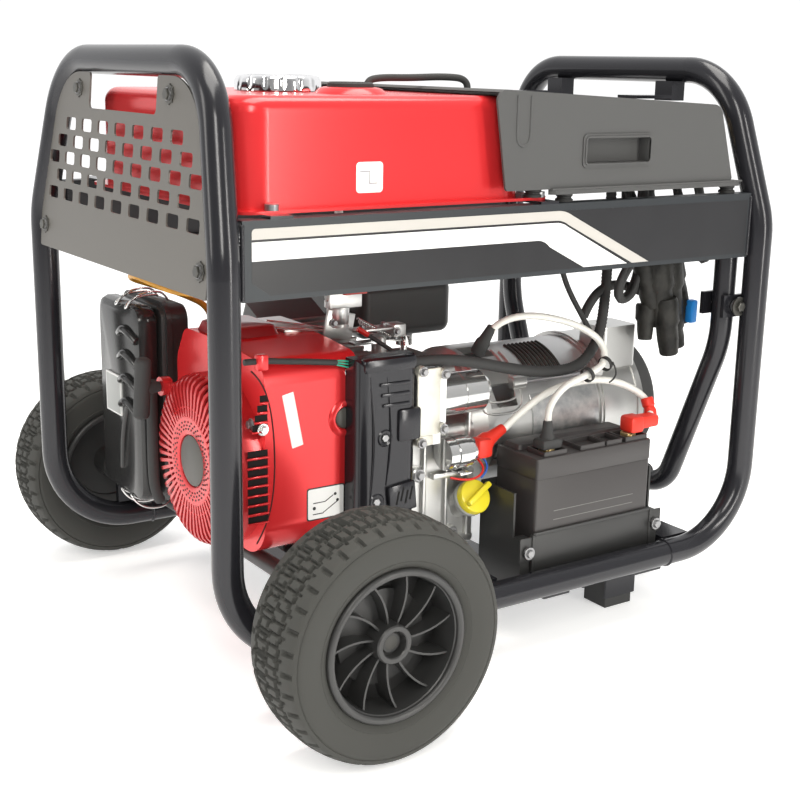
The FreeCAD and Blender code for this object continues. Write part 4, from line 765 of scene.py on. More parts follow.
def shroud_details():
    """Boss and plug, louvres with painted shade in their gaps, seam, stickers and the wire sleeve on the front of
    the fan shroud.
    """
    face = -148
    shape = bmesh.new()
    ring = [(12.5, -1), (13.2, 2.2), (14.5, 3.4), (17, 3.2), (21, 0.4), (22, -1)]
    add_lathe(shape, [(r * MM, h * MM) for r, h in ring], Vector((-174, face, 290)) * MM, (0, -1, 0), 48,
              closed=True)
    put("shroud_boss", from_bmesh(shape), "frame", "red_paint")
    shape = bmesh.new()
    plug = [(0, 2.6), (9.5, 2.4), (11.6, 1.2), (12.2, 0), (12.2, -1), (0, -1)]
    add_lathe(shape, [(r * MM, h * MM) for r, h in plug], Vector((-174, face, 290)) * MM, (0, -1, 0), 40)
    put("shroud_plug", from_bmesh(shape), "frame", "gauge_plastic",
        finish("plug_grey", (0.09, 0.088, 0.08), 0.5, bump=0.1))
    slats = bmesh.new()
    dark = bmesh.new()
    rows = [(322 - 10.5 * i, 10 + 3 * i) for i in range(4)] + [(262 - 10.5 * i, 25) for i in range(8)]
    for height, wide in rows:
        right = -270
        add_box(slats, Vector((right - wide - 1, face - 2.4, height - 3.2)) * MM,
                Vector((right, face + 0.4, height - 1.0)) * MM, 0.9 * MM)
        # painted shade: near-black sheets between the slats stand in for the shadowed openings behind the louvres
        add_box(dark, Vector((right - wide, face - 0.35, height - 1)) * MM,
                Vector((right - 1, face + 0.2, height + 6.2)) * MM, 0.1 * MM)
    put("shroud_slats", from_bmesh(slats), "frame", "red_paint")
    put("shroud_gap_shade", from_bmesh(dark), "frame", "gauge_plastic", finish("painted_gap_shade", (0.006, 0.003,
                                                                                       0.003), 0.8))
    seam = [(-290, face, 356), (-278, face, 344), (-268, face, 318), (-263, face, 282), (-262, face, 240),
            (-266, face, 204), (-275, face, 178), (-285, face, 163)]
    wire("shroud_seam", seam, 0.9, "gauge_plastic", material=finish("seam", (0.05, 0.006, 0.006), 0.6))
    white = finish("sticker_white", WHITE, 0.4, spread=0.02, bump=0.02)
    black = finish("sticker_black", (0.02, 0.02, 0.02), 0.4, bump=0.02)
    note = ((-198, face - 0.02, 196), (1, 0, 0), (0, 0, 1))
    decal("shroud_note_edge", rounded_outline(49, 38, 3), note, black, slot="red_paint")
    decal("shroud_note", rounded_outline(46, 35, 2.4),
          ((-198, face - 0.2, 196), (1, 0, 0), (0, 0, 1)), white, slot="red_paint")
    for i, (a, b, wide, tilt) in enumerate(((-9, 1, 15, 0), (4, 4, 13, 30), (-10, -12, 14, 0), (6, -6, 22,
                                                                                                30))):
        u = (math.cos(math.radians(tilt)), 0, math.sin(math.radians(tilt)))
        v = (-u[2], 0, u[0])
        decal(f"shroud_note_line_{i}", rounded_outline(wide, 1.1, 0.5, 2),
              ((-198 + a, face - 0.38, 196 + b), u, v), black, slot="red_paint")
    for i, (a, b, r) in enumerate(((-15, -5, 2.0), (12, 8, 1.8), (15, 0.5, 1.8))):
        decal(f"shroud_note_dot_{i}", rounded_outline(2 * r, 2 * r, r * 0.98, 4),
              ((-198 + a, face - 0.38, 196 + b), (1, 0, 0), (0, 0, 1)), black, slot="red_paint")
    decal("shroud_strip", rounded_outline(14, 62, 1),
          ((-240, face - 0.02, 296), (0.98, 0, 0.2), (-0.2, 0, 0.98)), white, slot="red_paint")
    bolts("shroud_bolts", "frame", "starter_steel",
          [((-168, face, 342), (0, -1, 0)), ((-277, face - 1, 291), (0, -1, 0)), ((-163, face, 172), (0,
                  -1, 0))],
          across=8, head=4.5)
    wire("sleeve", [(-300, -151, 367), (-280, -152, 367), (-250, -152, 363), (-216, -152, 359), (-188,
            -152, 355)],
         3.4, "mount_rubber")
    green = finish("green_wire", (0.03, 0.42, 0.28), 0.4, bump=0)
    for i in range(3):
        dz = 2 * (i - 1)
        wire(f"green_wire_{i}", [(-190, -152, 355 + dz), (-182, -153, 354 + dz * 1.4), (-174, -154,
                                                                                        352 + dz * 1.8),
                                 (-166, -155, 350 + dz)], 1.0, "mount_rubber", material=green)
    shape = bmesh.new()
    add_box(shape, Vector((-287, -158, 357)) * MM, Vector((-274, -148, 374)) * MM, 2 * MM)
    put("sleeve_clip", from_bmesh(shape), "frame", "red_paint")


# ---------------------------------------------------------------- starter and engine front
def starter_details():
    """Ribs, grooves, screws and vent hood with painted shade in its slots on the starter cover; bolts, strap and
    wires on the starter.
    """
    shape = bmesh.new()
    face = -178
    for x, half, z0, z1 in ((-160, 1.2, 190, 340), (-138, 1.0, 214, 338)):
        line = [Vector((x + 5 * math.sin(math.pi * t), face + 0.4 - 1.6 * math.sin(math.pi * t),
                        z0 + (z1 - z0) * t))
                * MM for t in [i / 20 for i in range(21)]]
        add_tube(shape, line, half * MM, steps=8)
    for i in range(3):
        z = 330 - 12 * i
        add_box(shape, Vector((-148 + 2 * i, face - 2.2, z - 2)) * MM, Vector((-108, face + 0.5,
                                                                               z + 2)) * MM, 1.2 * MM)
    add_box(shape, Vector((-168, face - 1.5, 343)) * MM, Vector((-98, face + 16, 359.5)) * MM, 5 * MM)
    add_box(shape, Vector((-136, face - 5, 180)) * MM, Vector((-99, face + 2, 214)) * MM, 2.4 * MM,
            Matrix.Rotation(math.radians(-6), 3, "Y"))
    add_box(shape, Vector((-124, face - 4, 262)) * MM, Vector((-93, face + 4, 300)) * MM, 4 * MM)
    for x, z in ((-140, 269), (-150, 196)):
        cup = [(5.4, -2), (5.4, 0.6), (8.5, 1.4), (10, 0), (10, -2)]
        add_lathe(shape, [(r * MM, h * MM) for r, h in cup], Vector((x, face, z)) * MM, (0, -1, 0), 28,
                  closed=True)
    put("starter_cover_ribs", from_bmesh(shape), "frame", "black_gloss_paint")
    slots = bmesh.new()
    # painted shade: near-black boxes on the vent hood stand in for the shadowed vent slots
    for i in range(4):
        spot = Vector((-126 + 6 * i, face - 5.2, 190 + 3.5 * (i % 2)))
        add_box(slots, spot * MM, (spot + Vector((2.6, 0.5, 16))) * MM, 0.2 * MM,
                Matrix.Rotation(math.radians(12), 3, "Y"))
    put("starter_cover_slot_shade", from_bmesh(slots), "frame", "gauge_plastic", finish("painted_slot_shade",
                                                                                   (0.004,) * 3, 0.8))
    bolts("starter_cover_screws", "frame", "axle_steel", [((-140, face + 1, 269), (0, -1, 0)),
                                                         ((-150, face + 1, 196), (0, -1, 0))],
          across=8, head=3, washer=False)
    shape = bmesh.new()
    for z0, z1, y in ((262, 340, -174), (250, 262, -173)):
        add_box(shape, Vector((-94, y, z0)) * MM, Vector((-70 if z0 < 260 else -62, y + 3, z1)) * MM,
                1.5 * MM)
    for x, z in ((-88, 338), (-58, 332), (-88, 255), (-58, 268)):
        add_rod(shape, 6 * MM, Vector((x, -176, z)) * MM, Vector((x, -160, z)) * MM, 20, 1 * MM)
    put("starter_flange", from_bmesh(shape), "frame", "cast_aluminium",
        finish("pale_casting", (0.72, 0.70, 0.62), 0.45, metal=0.55, grain=40, bump=0.35, fine=700))
    bolts("starter_bolts", "frame", "axle_steel",
          [((x, -176, z), (0, -1, 0)) for x, z in ((-88, 338), (-58, 332), (-88, 255), (-58, 268))],
          across=7, head=4)
    shape = bmesh.new()
    for x in (-49.5, -14.5):
        band = [(25, -1.5), (25.6, -1.5), (25.6, 1.5), (25, 1.5)]
        add_lathe(shape, [(r * MM, h * MM) for r, h in band], Vector((x, -140, 297)) * MM, (1, 0, 0), 48,
                  closed=True)
    band = [(19.05, -7), (20.2, -7), (20.2, 7), (19.05, 7)]
    add_lathe(shape, [(r * MM, h * MM) for r, h in band], Vector((-26, -158.5, 231)) * MM, (1, 0, 0), 48,
              closed=True)
    add_box(shape, Vector((-34, -178.5, 208)) * MM, Vector((-16, -160, 211)) * MM, 0.8 * MM)
    put("solenoid_strap", from_bmesh(shape), "frame", "starter_steel")
    red = finish("red_wire", (0.62, 0.02, 0.015), 0.4, bump=0)
    wire("red_wire", [(0, -160, 222), (6, -170, 214), (0, -176, 205), (-14, -178, 201), (-30, -176, 202),
                      (-44, -172, 206)], 1.4, "mount_rubber", material=red)
    wire("blue_wire", [(2, -160, 226), (8, -172, 220), (6, -178, 208), (-2, -176, 200)], 1.1, "mount_rubber",
         material=finish("blue_wire", (0.02, 0.10, 0.45), 0.4, bump=0))


def oil_cap():
    """Round cap with a lever bar across it, on a pale sealing collar."""
    axis = Vector((0, -0.87, 0.5)).normalized()
    seat = Vector((-3, -130, 154)) * MM + axis * 34 * MM
    shape = bmesh.new()
    head = [(0, 0.4), (19, 0.4), (21, 1.6), (21, 8.5), (19.8, 10.4), (17, 11), (6, 11), (0, 11.4)]
    add_lathe(shape, [(r * MM, h * MM) for r, h in head], seat, axis, 40)
    turn = Matrix.Translation(seat) @ frame_of(axis) @ Matrix.Rotation(math.radians(28), 4, "Z")
    before = set(shape.verts)
    add_box(shape, Vector((-19, -3.6, 10)) * MM, Vector((23.5, 3.6, 19)) * MM, 2 * MM)
    bmesh.ops.transform(shape, matrix=turn, verts=[v for v in shape.verts if v not in before])
    put("winged_oil_cap", from_bmesh(shape), "oil_cap", "oil_cap_plastic", replaced=["oil_filler_cap"])
    shape = bmesh.new()
    collar = [(16.2, -10), (19, -10), (21.4, -6), (21.4, -1.4), (20, -0.2), (16.2, -0.2)]
    add_lathe(shape, [(r * MM, h * MM) for r, h in collar], seat, axis, 40, closed=True)
    put("filler_collar", from_bmesh(shape), "frame", "cast_aluminium",
        finish("collar_grey", (0.42, 0.43, 0.42), 0.5, metal=0.3))


def case_details():
    """Cast ribs, pads and bolts on the crankcase and the bell."""
    shape = bmesh.new()
    near = -138
    for x, z0, z1 in ((-60, 118, 250), (-28, 118, 248), (4, 112, 300)):
        add_box(shape, Vector((x - 2.5, near - 6, z0)) * MM, Vector((x + 2.5, near + 3, z1)) * MM, 2 * MM)
    add_box(shape, Vector((-92, near - 7, 112)) * MM, Vector((12, near + 3, 120)) * MM, 2 * MM)
    add_box(shape, Vector((-50, near - 9, 196)) * MM, Vector((10, near + 3, 204)) * MM, 2.5 * MM)
    for x, z in ((-84, 128), (-20, 126), (6, 214), (-70, 206)):
        add_rod(shape, 9 * MM, Vector((x, near - 8, z)) * MM, Vector((x, near + 2, z)) * MM, 24, 1.5 * MM)
    put("case_ribs", from_bmesh(shape), "frame", "cast_aluminium")
    bolts("case_bolts", "frame", "axle_steel",
          [((x, near - 8, z), (0, -1, 0)) for x, z in ((-84, 128), (-20, 126), (6, 214), (-70, 206))],
          across=9, head=5)


def on_drum(x, angle, radius):
    """A point on a drum about the shaft line; angle 0 is straight up, positive towards the battery side."""
    a = math.radians(angle)
    return Vector((x, SHAFT_Y - radius * math.sin(a), SHAFT_Z + radius * math.cos(a)))


def alternator_details():
    """Raised outlines on the bell, through bolts, a plated stator wrap, windings and housing ribs."""
    shape = bmesh.new()
    for grow in (0, 9):
        outline = [(22 + grow, 20 - grow / 3), (22 + grow, 68 - grow), (40, 74 - grow), (84 - grow,
                                                                                         74 - grow),
                   (92 - grow, 60), (92 - grow, 20 - grow / 3)]
        line = smooth_path([on_drum(x, a, 94.3) * MM for x, a in outline])
        line = [Vector((p.x, *(Vector((p.y - SHAFT_Y * MM, p.z - SHAFT_Z * MM)).normalized() * 0.0946
                               + Vector((SHAFT_Y, SHAFT_Z)) * MM))) for p in line]
        add_tube(shape, line, 1.6 * MM, steps=10)
    for angle in (52, 128, 232, 308):
        for x, long in ((88, 22), (213, 22)):
            middle = on_drum(x, angle, 96)
            add_rod(shape, 8 * MM, (middle - Vector((long / 2, 0, 0))) * MM, (middle + Vector((long / 2, 0,
                                                                                               0))) * MM,
                    20, 1.5 * MM)
    for x in (222, 280):
        rim = [(93.8, -3), (96, -3), (96, 3), (93.8, 3)]
        add_lathe(shape, [(r * MM, h * MM) for r, h in rim], Vector((x, SHAFT_Y, SHAFT_Z)) * MM, (1, 0, 0),
                  72,
                  closed=True)
    put("bell_outlines", from_bmesh(shape), "frame", "cast_aluminium")
    shape = bmesh.new()
    for angle in (52, 128, 232, 308):
        start, end = on_drum(90, angle, 96), on_drum(212, angle, 96)
        add_rod(shape, 3.2 * MM, start * MM, end * MM, 14)
    put("through_bolts", from_bmesh(shape), "frame", "axle_steel")
    shape = bmesh.new()
    arcs = [on_drum(0, a, 91.4) for a in range(62, 151, 4)]
    rows = []
    for x in (103, 104, 211, 212):
        lift = 0.2 if x in (103, 212) else 1.0
        rows.append([shape.verts.new(Vector((x, SHAFT_Y + (p.y - SHAFT_Y) * (1 + lift / 91), SHAFT_Z
                                             + (p.z - SHAFT_Z) * (1 + lift / 91))) * MM) for p in arcs])
    for one, two in zip(rows, rows[1:]):
        for i in range(len(arcs) - 1):
            shape.faces.new((one[i], one[i + 1], two[i + 1], two[i]))
    put("stator_wrap", from_bmesh(shape), "frame", "key_steel",
        finish("zinc", (0.42, 0.43, 0.44), 0.38, metal=0.9, second=(0.55, 0.55, 0.54), grain=90, bump=0.2,
               fine=400))
    shape = bmesh.new()
    for i in range(9):
        add_tube(shape, [on_drum(116 + 6.4 * i, a, 91.4) * MM for a in range(8, 49, 4)], 2.2 * MM, steps=10)
    put("stator_laminations", from_bmesh(shape), "frame", "key_steel",
        finish("lamination", (0.05, 0.048, 0.045), 0.45, metal=0.4, bump=0.1))


SECTIONS_ENGINE = (recoil_start, recoil_rope, shroud_details, starter_details, oil_cap, case_details,
                   alternator_details)


# ---------------------------------------------------------------- fuel and air
def rounded_block(shape, low, high, radius, steps=6, along=(0, 1, 2), taper=0.0):
    """A block whose long edges are round, extruded along one axis; taper shrinks its far end."""
    u_axis, v_axis, w_axis = along
    size = [h - l for l, h in zip(low, high)]
    outline = rounded_outline(size[u_axis], size[v_axis], radius, steps)
    soft = min(radius * 0.5, size[w_axis] / 3)
    rows = []
    for depth, inset in ((0, soft), (soft * 0.3, soft * 0.3), (soft, 0), (size[w_axis] - soft, taper),
                         (size[w_axis] - soft * 0.3, taper + soft * 0.3), (size[w_axis], taper + soft)):
        row = []
        for a, b in outline:
            spot = [0, 0, 0]
            spot[u_axis] = (low[u_axis] + high[u_axis]) / 2 + a * (1 - 2 * inset / size[u_axis])
            spot[v_axis] = (low[v_axis] + high[v_axis]) / 2 + b * (1 - 2 * inset / size[v_axis])
            spot[w_axis] = low[w_axis] + depth
            row.append(shape.verts.new(Vector(spot) * MM))
        rows.append(row)
    for one, two in zip(rows, rows[1:]):
        for i in range(len(outline)):
            k = (i + 1) % len(outline)
            shape.faces.new((one[i], one[k], two[k], two[i]))
    shape.faces.new(rows[0][::-1])
    shape.faces.new(rows[-1])


def air_cleaner():
    """Gloss shell with four curved ribs, a label, two wire clips and the breather tube."""
    shape = bmesh.new()
    rounded_block(shape, (-314, 93, 142), (-285.4, 219, 386), 18, along=(1, 2, 0))
    for i in range(4):
        z = 352 - 30 * i
        ridge = [(-313, 150, z - 4), (-315.2, 141, z - 1), (-316.2, 132, z + 4), (-316.4, 120, z + 3),
                 (-316, 106, z - 2), (-313.5, 97, z - 7)]
        add_tube(shape, smooth_path([Vector(p) * MM for p in ridge]), 5.2 * MM, steps=12)
    tail = [(-313, 152, 176), (-315, 146, 205), (-315.4, 136, 240), (-313, 128, 262)]
    add_tube(shape, smooth_path([Vector(p) * MM for p in tail]), 4 * MM, steps=12)
    put("air_shell", from_bmesh(shape, 40), "air_cleaner_cover", "air_cleaner_plastic",
        replaced=["air_cleaner_cover"])
    silver = finish("label_silver", (0.42, 0.43, 0.42), 0.35, metal=0.4, spread=0.05, bump=0.02)
    pale = finish("label_edge", (0.75, 0.75, 0.74), 0.4, bump=0.02)
    face = (-316.2, 168, 268)
    decal("air_label_edge", rounded_outline(46, 50, 1), (face, (0, -1, 0), (0, 0, 1)), pale,
          "air_cleaner_cover",
          depth=-2.3, slot="air_cleaner_plastic")
    decal("air_label", rounded_outline(42, 46, 1), ((-316.4, 168, 268), (0, -1, 0), (0, 0, 1)), silver,
          "air_cleaner_cover", depth=-0.3, slot="air_cleaner_plastic")
    for end, z, lift in (("top", 386, 1), ("foot", 142, -1)):
        for i, y in enumerate((120, 150)):
            loop = [(-262, y, z + lift * 2), (-268, y - 3, z + lift * 12), (-284, y - 4, z + lift * 15),
                    (-300, y - 3, z + lift * 12), (-311, y, z + lift * 4), (-316, y + 3, z - lift * 6),
                    (-312, y + 12, z - lift * 2), (-296, y + 12, z + lift * 8), (-272, y + 8, z + lift * 8)]
            wire(f"air_clip_{end}_{i}", loop, 1.4, "starter_steel", "air_cleaner_cover")
    shape = bmesh.new()
    rounded_block(shape, (-285, 92, 142), (-245, 220, 386), 18, along=(1, 2, 0))
    band = rounded_outline(134 * MM, 250 * MM, 20 * MM)
    add_prism(shape, [(a, b) for a, b in band], Vector((-278, 156, 264)) * MM, (0, 1, 0), (0, 0, 1), 7 * MM,
              1.5 * MM)
    add_rod(shape, 21 * MM, Vector((-246, 109, 323)) * MM, Vector((-235.2, 109, 323)) * MM, 32, 1 * MM)
    put("air_base", from_bmesh(shape, 40), "frame", "black_plastic", replaced=["air_cleaner_base"])
    breather = [(-300, 88, 300), (-302, 84, 280), (-303, 83, 240), (-303, 84, 190), (-300, 86, 160), (-292,
            90, 146)]
    wire("breather", breather, 6.5, "mount_rubber")


def carburettor_details():
    """Rods, spring, linkage plates and the sediment bowl behind the shroud's top edge."""
    steel, frame_body = "starter_steel", "frame"
    shape = bmesh.new()
    bowl = [(0, -24), (9, -23), (12.6, -18), (13.2, -4), (13.2, 0), (16, 1), (16, 8), (13, 10), (13, 18),
            (0, 18)]
    add_lathe(shape, [(r * MM, h * MM) for r, h in bowl], Vector((-130, -60, 396)) * MM, (0, 0, 1), 32)
    add_box(shape, Vector((-152, -78, 398)) * MM, Vector((-108, -74, 418)) * MM, 1.5 * MM)
    add_rod(shape, 5.5 * MM, Vector((-146, -60, 410)) * MM, Vector((-110, -60, 410)) * MM, 16, 1 * MM)
    put("sediment_bowl", from_bmesh(shape), frame_body, "cast_aluminium",
        finish("pale_zinc", (0.66, 0.66, 0.65), 0.3, metal=0.9, bump=0.2))
    straight("governor_rod", (-206, -30, 374), (-118, -60, 366), 1.6, steel)
    straight("throttle_rod", (-196, -8, 378), (-60, -55, 356), 1.3, steel)
    coil = [Vector((-106 + 46 * t, -66 + 2.8 * math.cos(TURN * 16 * t),
                    380 - 24 * t + 2.8 * math.sin(TURN * 16 * t)))
            * MM for t in [i / 256 for i in range(257)]]
    shape = bmesh.new()
    add_tube(shape, coil, 0.7 * MM, steps=8)
    put("governor_spring", from_bmesh(shape, 70), frame_body, steel)
    shape = bmesh.new()
    add_box(shape, Vector((-150, -66, 360)) * MM, Vector((-112, -62, 392)) * MM, 1 * MM,
            Matrix.Rotation(math.radians(12), 3, "Y"))
    add_box(shape, Vector((-112, -74, 366)) * MM, Vector((-52, -52, 369)) * MM, 0.8 * MM)
    add_box(shape, Vector((-62, -76, 356)) * MM, Vector((-44, -56, 372)) * MM, 2 * MM)
    add_rod(shape, 9 * MM, Vector((-74, -62, 322)) * MM, Vector((-74, -62, 358)) * MM, 24, 1.5 * MM)
    put("linkage_plates", from_bmesh(shape), frame_body, "cast_aluminium")
    bolts("linkage_bolts", frame_body, "axle_steel",
          [((-58, -76, 364), (0, -1, 0)), ((-140, -67, 380), (0, -1, 0)), ((-98, -62, 369), (0, 0, 1)),
           ((-68, -62, 369), (0, 0, 1))], across=6, head=3.5)
    shape = bmesh.new()
    add_box(shape, Vector((-190, -40, 366)) * MM, Vector((-150, 40, 372)) * MM, 2 * MM)
    add_rod(shape, 7 * MM, Vector((-206, 109, 345)) * MM, Vector((-206, 109, 352)) * MM, 24, 1.5 * MM)
    add_box(shape, Vector((-222, 62, 304)) * MM, Vector((-170, 84, 326)) * MM, 4 * MM)
    put("carburettor_castings", from_bmesh(shape), frame_body, "cast_aluminium")
    dark_red = finish("duct_red", (0.28, 0.006, 0.008), 0.3, coat=0.4, bump=0.03)
    shape = bmesh.new()
    rounded_block(shape, (-268, -46, 362), (-196, 34, 380), 10, along=(0, 1, 2), taper=3)
    put("shroud_duct", from_bmesh(shape), frame_body, "red_paint", dark_red)
    red = finish("red_wire", (0.62, 0.02, 0.015), 0.4, bump=0)
    wire("cable_tip", [(-118, -84, 374), (-112, -86, 370), (-106, -88, 366)], 3.2, "mount_rubber",
         material=red)
    wire("stop_cable", [(-106, -88, 366), (-96, -96, 358), (-86, -106, 350), (-78, -118, 342)], 2.6,
         "mount_rubber")


# ---------------------------------------------------------------- hoses and cables
FUEL_ROUTE = [(-144, -60, 416), (-176, -60, 416), (-232, -4, 414), (-276, 48, 406), (-296, 92, 416),
              (-300, 136, 420), (-290, 168, 410), (-262, 170, 400), (-230, 144, 389), (-206, 112, 374),
              (-206, 112, 345)]
VENT_ROUTE = [(-104, -74, 640), (-104, -74, 652), (-88, -76, 656), (-48, -80, 656), (-8, -87, 658),
              (22, -94, 656), (22, -94, 645.3)]
CONDUIT_ROUTE = [(-95, -163, 347), (-58, -163, 347), (-10, -165, 339), (60, -160, 320), (118, -156, 310),
                 (168, -152, 312), (204, -142, 340), (222, -130, 385), (236, -116, 440), (243, -108, 492),
                 (243, -108, 546)]
LOOM_ROUTE = [(292, -122, 546), (292, -122, 508), (284, -142, 462), (290, -150, 420), (300, -152, 385),
              (306, -152, 352)]
LOOP_ROUTE = [(258, -152, 546), (258, -152, 502), (238, -164, 452), (214, -162, 415), (222, -154, 388),
              (248, -150, 392), (264, -146, 430), (271, -134, 490), (271, -134, 546)]
RIGHT_ROUTE = [(316, -140, 546), (326, -150, 500), (340, -162, 452), (352, -168, 430), (362, -166, 446),
               (364, -150, 492), (358, -140, 546)]
CROSS_ROUTE = [(196, -120, 366), (206, -122, 390), (232, -126, 406), (262, -134, 402), (290, -144, 388)]
STARTER_ROUTE = [(5, -158.5, 240), (30, -158.5, 240), (54, -168, 266), (96, -172, 292), (148, -170, 299),
                 (200, -171, 295), (240, -177, 278), (256, -190, 258), (240, -203, 245), (214, -205, 243)]
EARTH_ROUTE = [(72, -205, 235), (72, -205, 260), (82, -194, 281), (112, -185, 300), (150, -184, 309),
               (184, -178, 318), (190, -165, 342), (164, -154, 362), (122, -148, 376), (78, -146, 383),
               (44, -144, 378), (26, -138, 360), (24, -128, 342)]


def hoses():
    """Orange fuel hose, and the black vent hose over the tank."""
    orange = finish("fuel_hose", (0.62, 0.30, 0.03), 0.35, bump=0.05)
    wire("fuel_hose", FUEL_ROUTE, 4, "mount_rubber", material=orange, replaced=["fuel_hoses"])
    wire("vent_hose", VENT_ROUTE, 4, "mount_rubber")


def bundle(name, route, radius, count, slot, spread):
    """Several thin cables that run together along one route."""
    line = spaced(smooth_path([Vector(p) * MM for p in route]), 6 * MM)
    shape = bmesh.new()
    for i in range(count):
        phase = TURN * i / count + random.uniform(-0.3, 0.3)
        twist = random.uniform(3, 6)
        strand = []
        for k, p in enumerate(line):
            ends = math.sin(math.pi * min(1, max(0, k / (len(line) - 1)))) ** 0.4
            a = phase + twist * k / len(line)
            reach = spread * ends * (0.75 + 0.25 * math.sin(5 * a))
            strand.append(p + Vector((math.cos(a), math.sin(a), 0.3 * math.sin(a))) * reach * MM)
        add_tube(shape, strand, radius * MM, steps=10)
    return put(name, from_bmesh(shape, 60), "frame", slot)


def boot(shape, start, end, wide, narrow):
    """A moulded terminal boot that tapers from wide to narrow."""
    start, end = Vector(start) * MM, Vector(end) * MM
    length = (end - start).length
    w, n = wide * MM, narrow * MM
    profile = [(0, 0), (w * 0.9, 0), (w, length * 0.06), (w, length * 0.42), (w * 0.82, length * 0.5),
               (n * 1.15, length * 0.72), (n, length * 0.98), (n * 0.9, length), (0, length)]
    add_lathe(shape, profile, start, end - start, 20)


def leads():
    """Pale battery leads with boots and a tie, the black conduit and the hanging harness."""
    wire("starter_lead", STARTER_ROUTE, 4.5, "lead_sheath", replaced=["battery_leads"])
    wire("earth_lead", EARTH_ROUTE, 4.3, "lead_sheath")
    wire("conduit", CONDUIT_ROUTE, 6.6, "mount_rubber", ribs=0.35, replaced=["wiring_loom"])
    red = finish("red_boot", (0.72, 0.035, 0.02), 0.38, spread=0.08, bump=0.05)
    shape = bmesh.new()
    boot(shape, (0, -161, 232), (40, -162, 252), 11, 6.2)
    add_box(shape, Vector((-6, -176, 222)) * MM, Vector((16, -154, 246)) * MM, 5 * MM)
    boot(shape, (250, -186, 268), (251, -196, 246), 8, 7)
    add_box(shape, Vector((206, -216, 238)) * MM, Vector((246, -196, 254)) * MM, 4.5 * MM)
    add_box(shape, Vector((196, -219, 235)) * MM, Vector((218, -195, 256)) * MM, 4.5 * MM)
    put("red_boots", from_bmesh(shape), "frame", "lead_sheath", red)
    shape = bmesh.new()
    boot(shape, (72, -205, 234), (73, -204, 266), 9, 5.6)
    add_box(shape, Vector((58, -216, 233)) * MM, Vector((88, -194, 246)) * MM, 4 * MM)
    boot(shape, (24, -126, 338), (34, -141, 372), 9, 5.6)
    for z, x, y in ((318, 184, -178), (309, 150, -184)):
        ring = [(8, -2.4), (9.4, -2.4), (9.4, 2.4), (8, 2.4)]
        add_lathe(shape, [(r * MM, h * MM) for r, h in ring], Vector((x, y, z)) * MM, (1, 0.2, 0.3), 20,
                  closed=True)
    add_tube(shape, smooth_path([Vector(p) * MM for p in ((186, -188, 322), (190, -192, 312), (186, -194,
                                                                                               302),
                                                         (178, -193, 298))]), 1.1 * MM, steps=8)
    put("black_boots", from_bmesh(shape), "frame", "mount_rubber")
    bundle("harness_loop", LOOP_ROUTE, 4.2, 3, "mount_rubber", 4)
    bundle("harness_main", LOOM_ROUTE, 4.8, 6, "mount_rubber", 11)
    bundle("harness_back", [(276, -96, 546), (278, -100, 510), (290, -118, 470), (306, -134, 440), (308,
            -140, 400)],
           4.2, 4, "mount_rubber", 9)
    shape = bmesh.new()
    spots = [((262, -150, 436), (282, -152, 376), 13, 11), ((284, -150, 442), (300, -154, 352), 22, 16),
             ((306, -146, 444), (322, -150, 346), 21, 15), ((322, -140, 436), (340, -144, 374), 16, 12),
             ((296, -160, 388), (309, -162, 314), 17, 12), ((318, -152, 366), (331, -154, 320), 14, 10),
             ((278, -146, 380), (276, -150, 334), 13, 9), ((334, -146, 392), (344, -150, 350), 12, 8)]
    for low, high, wide, narrow in spots:
        boot(shape, low, high, wide, narrow)
    put("harness_boots", from_bmesh(shape), "frame", "mount_rubber",
        finish("boot_black", (0.010, 0.0098, 0.009), 0.5, second=(0.026, 0.025, 0.022), grain=60, bump=0.7,
               fine=160,
               shine=0.25))
    shape = bmesh.new()
    for centre, turn in (((292, -142, 456), 0.2), ((300, -150, 426), -0.3)):
        ring = [(15, -2), (17.5, -2), (17.5, 2), (15, 2)]
        add_lathe(shape, [(r * MM, h * MM) for r, h in ring], Vector(centre) * MM, (turn, 0.2, 1), 28,
                  closed=True)
    put("harness_ties", from_bmesh(shape), "frame", "gauge_plastic")
    shape = bmesh.new()
    add_box(shape, Vector((338, -168, 352)) * MM, Vector((350, -156, 382)) * MM, 2.5 * MM)
    put("blue_connector", from_bmesh(shape), "frame", "mount_rubber",
        finish("connector_blue", (0.02, 0.22, 0.62), 0.4, bump=0.05))
    bundle("harness_right", RIGHT_ROUTE, 4.4, 3, "mount_rubber", 5)
    wire("harness_cross", CROSS_ROUTE, 6, "mount_rubber")
    wire("sensor_lead", [(150, -120, 446), (158, -122, 420), (170, -124, 396), (186, -126, 372), (200,
            -128, 350)],
         3.4, "mount_rubber")
    shape = bmesh.new()
    add_lathe(shape, [(0, 0), (4.6 * MM, 0), (4.6 * MM, 6 * MM), (3.6 * MM, 9 * MM), (0, 9 * MM)],
              Vector((149, -120, 440)) * MM, (-0.1, 0, 1), 16)
    put("sensor_tip", from_bmesh(shape), "frame", "lead_sheath", red)


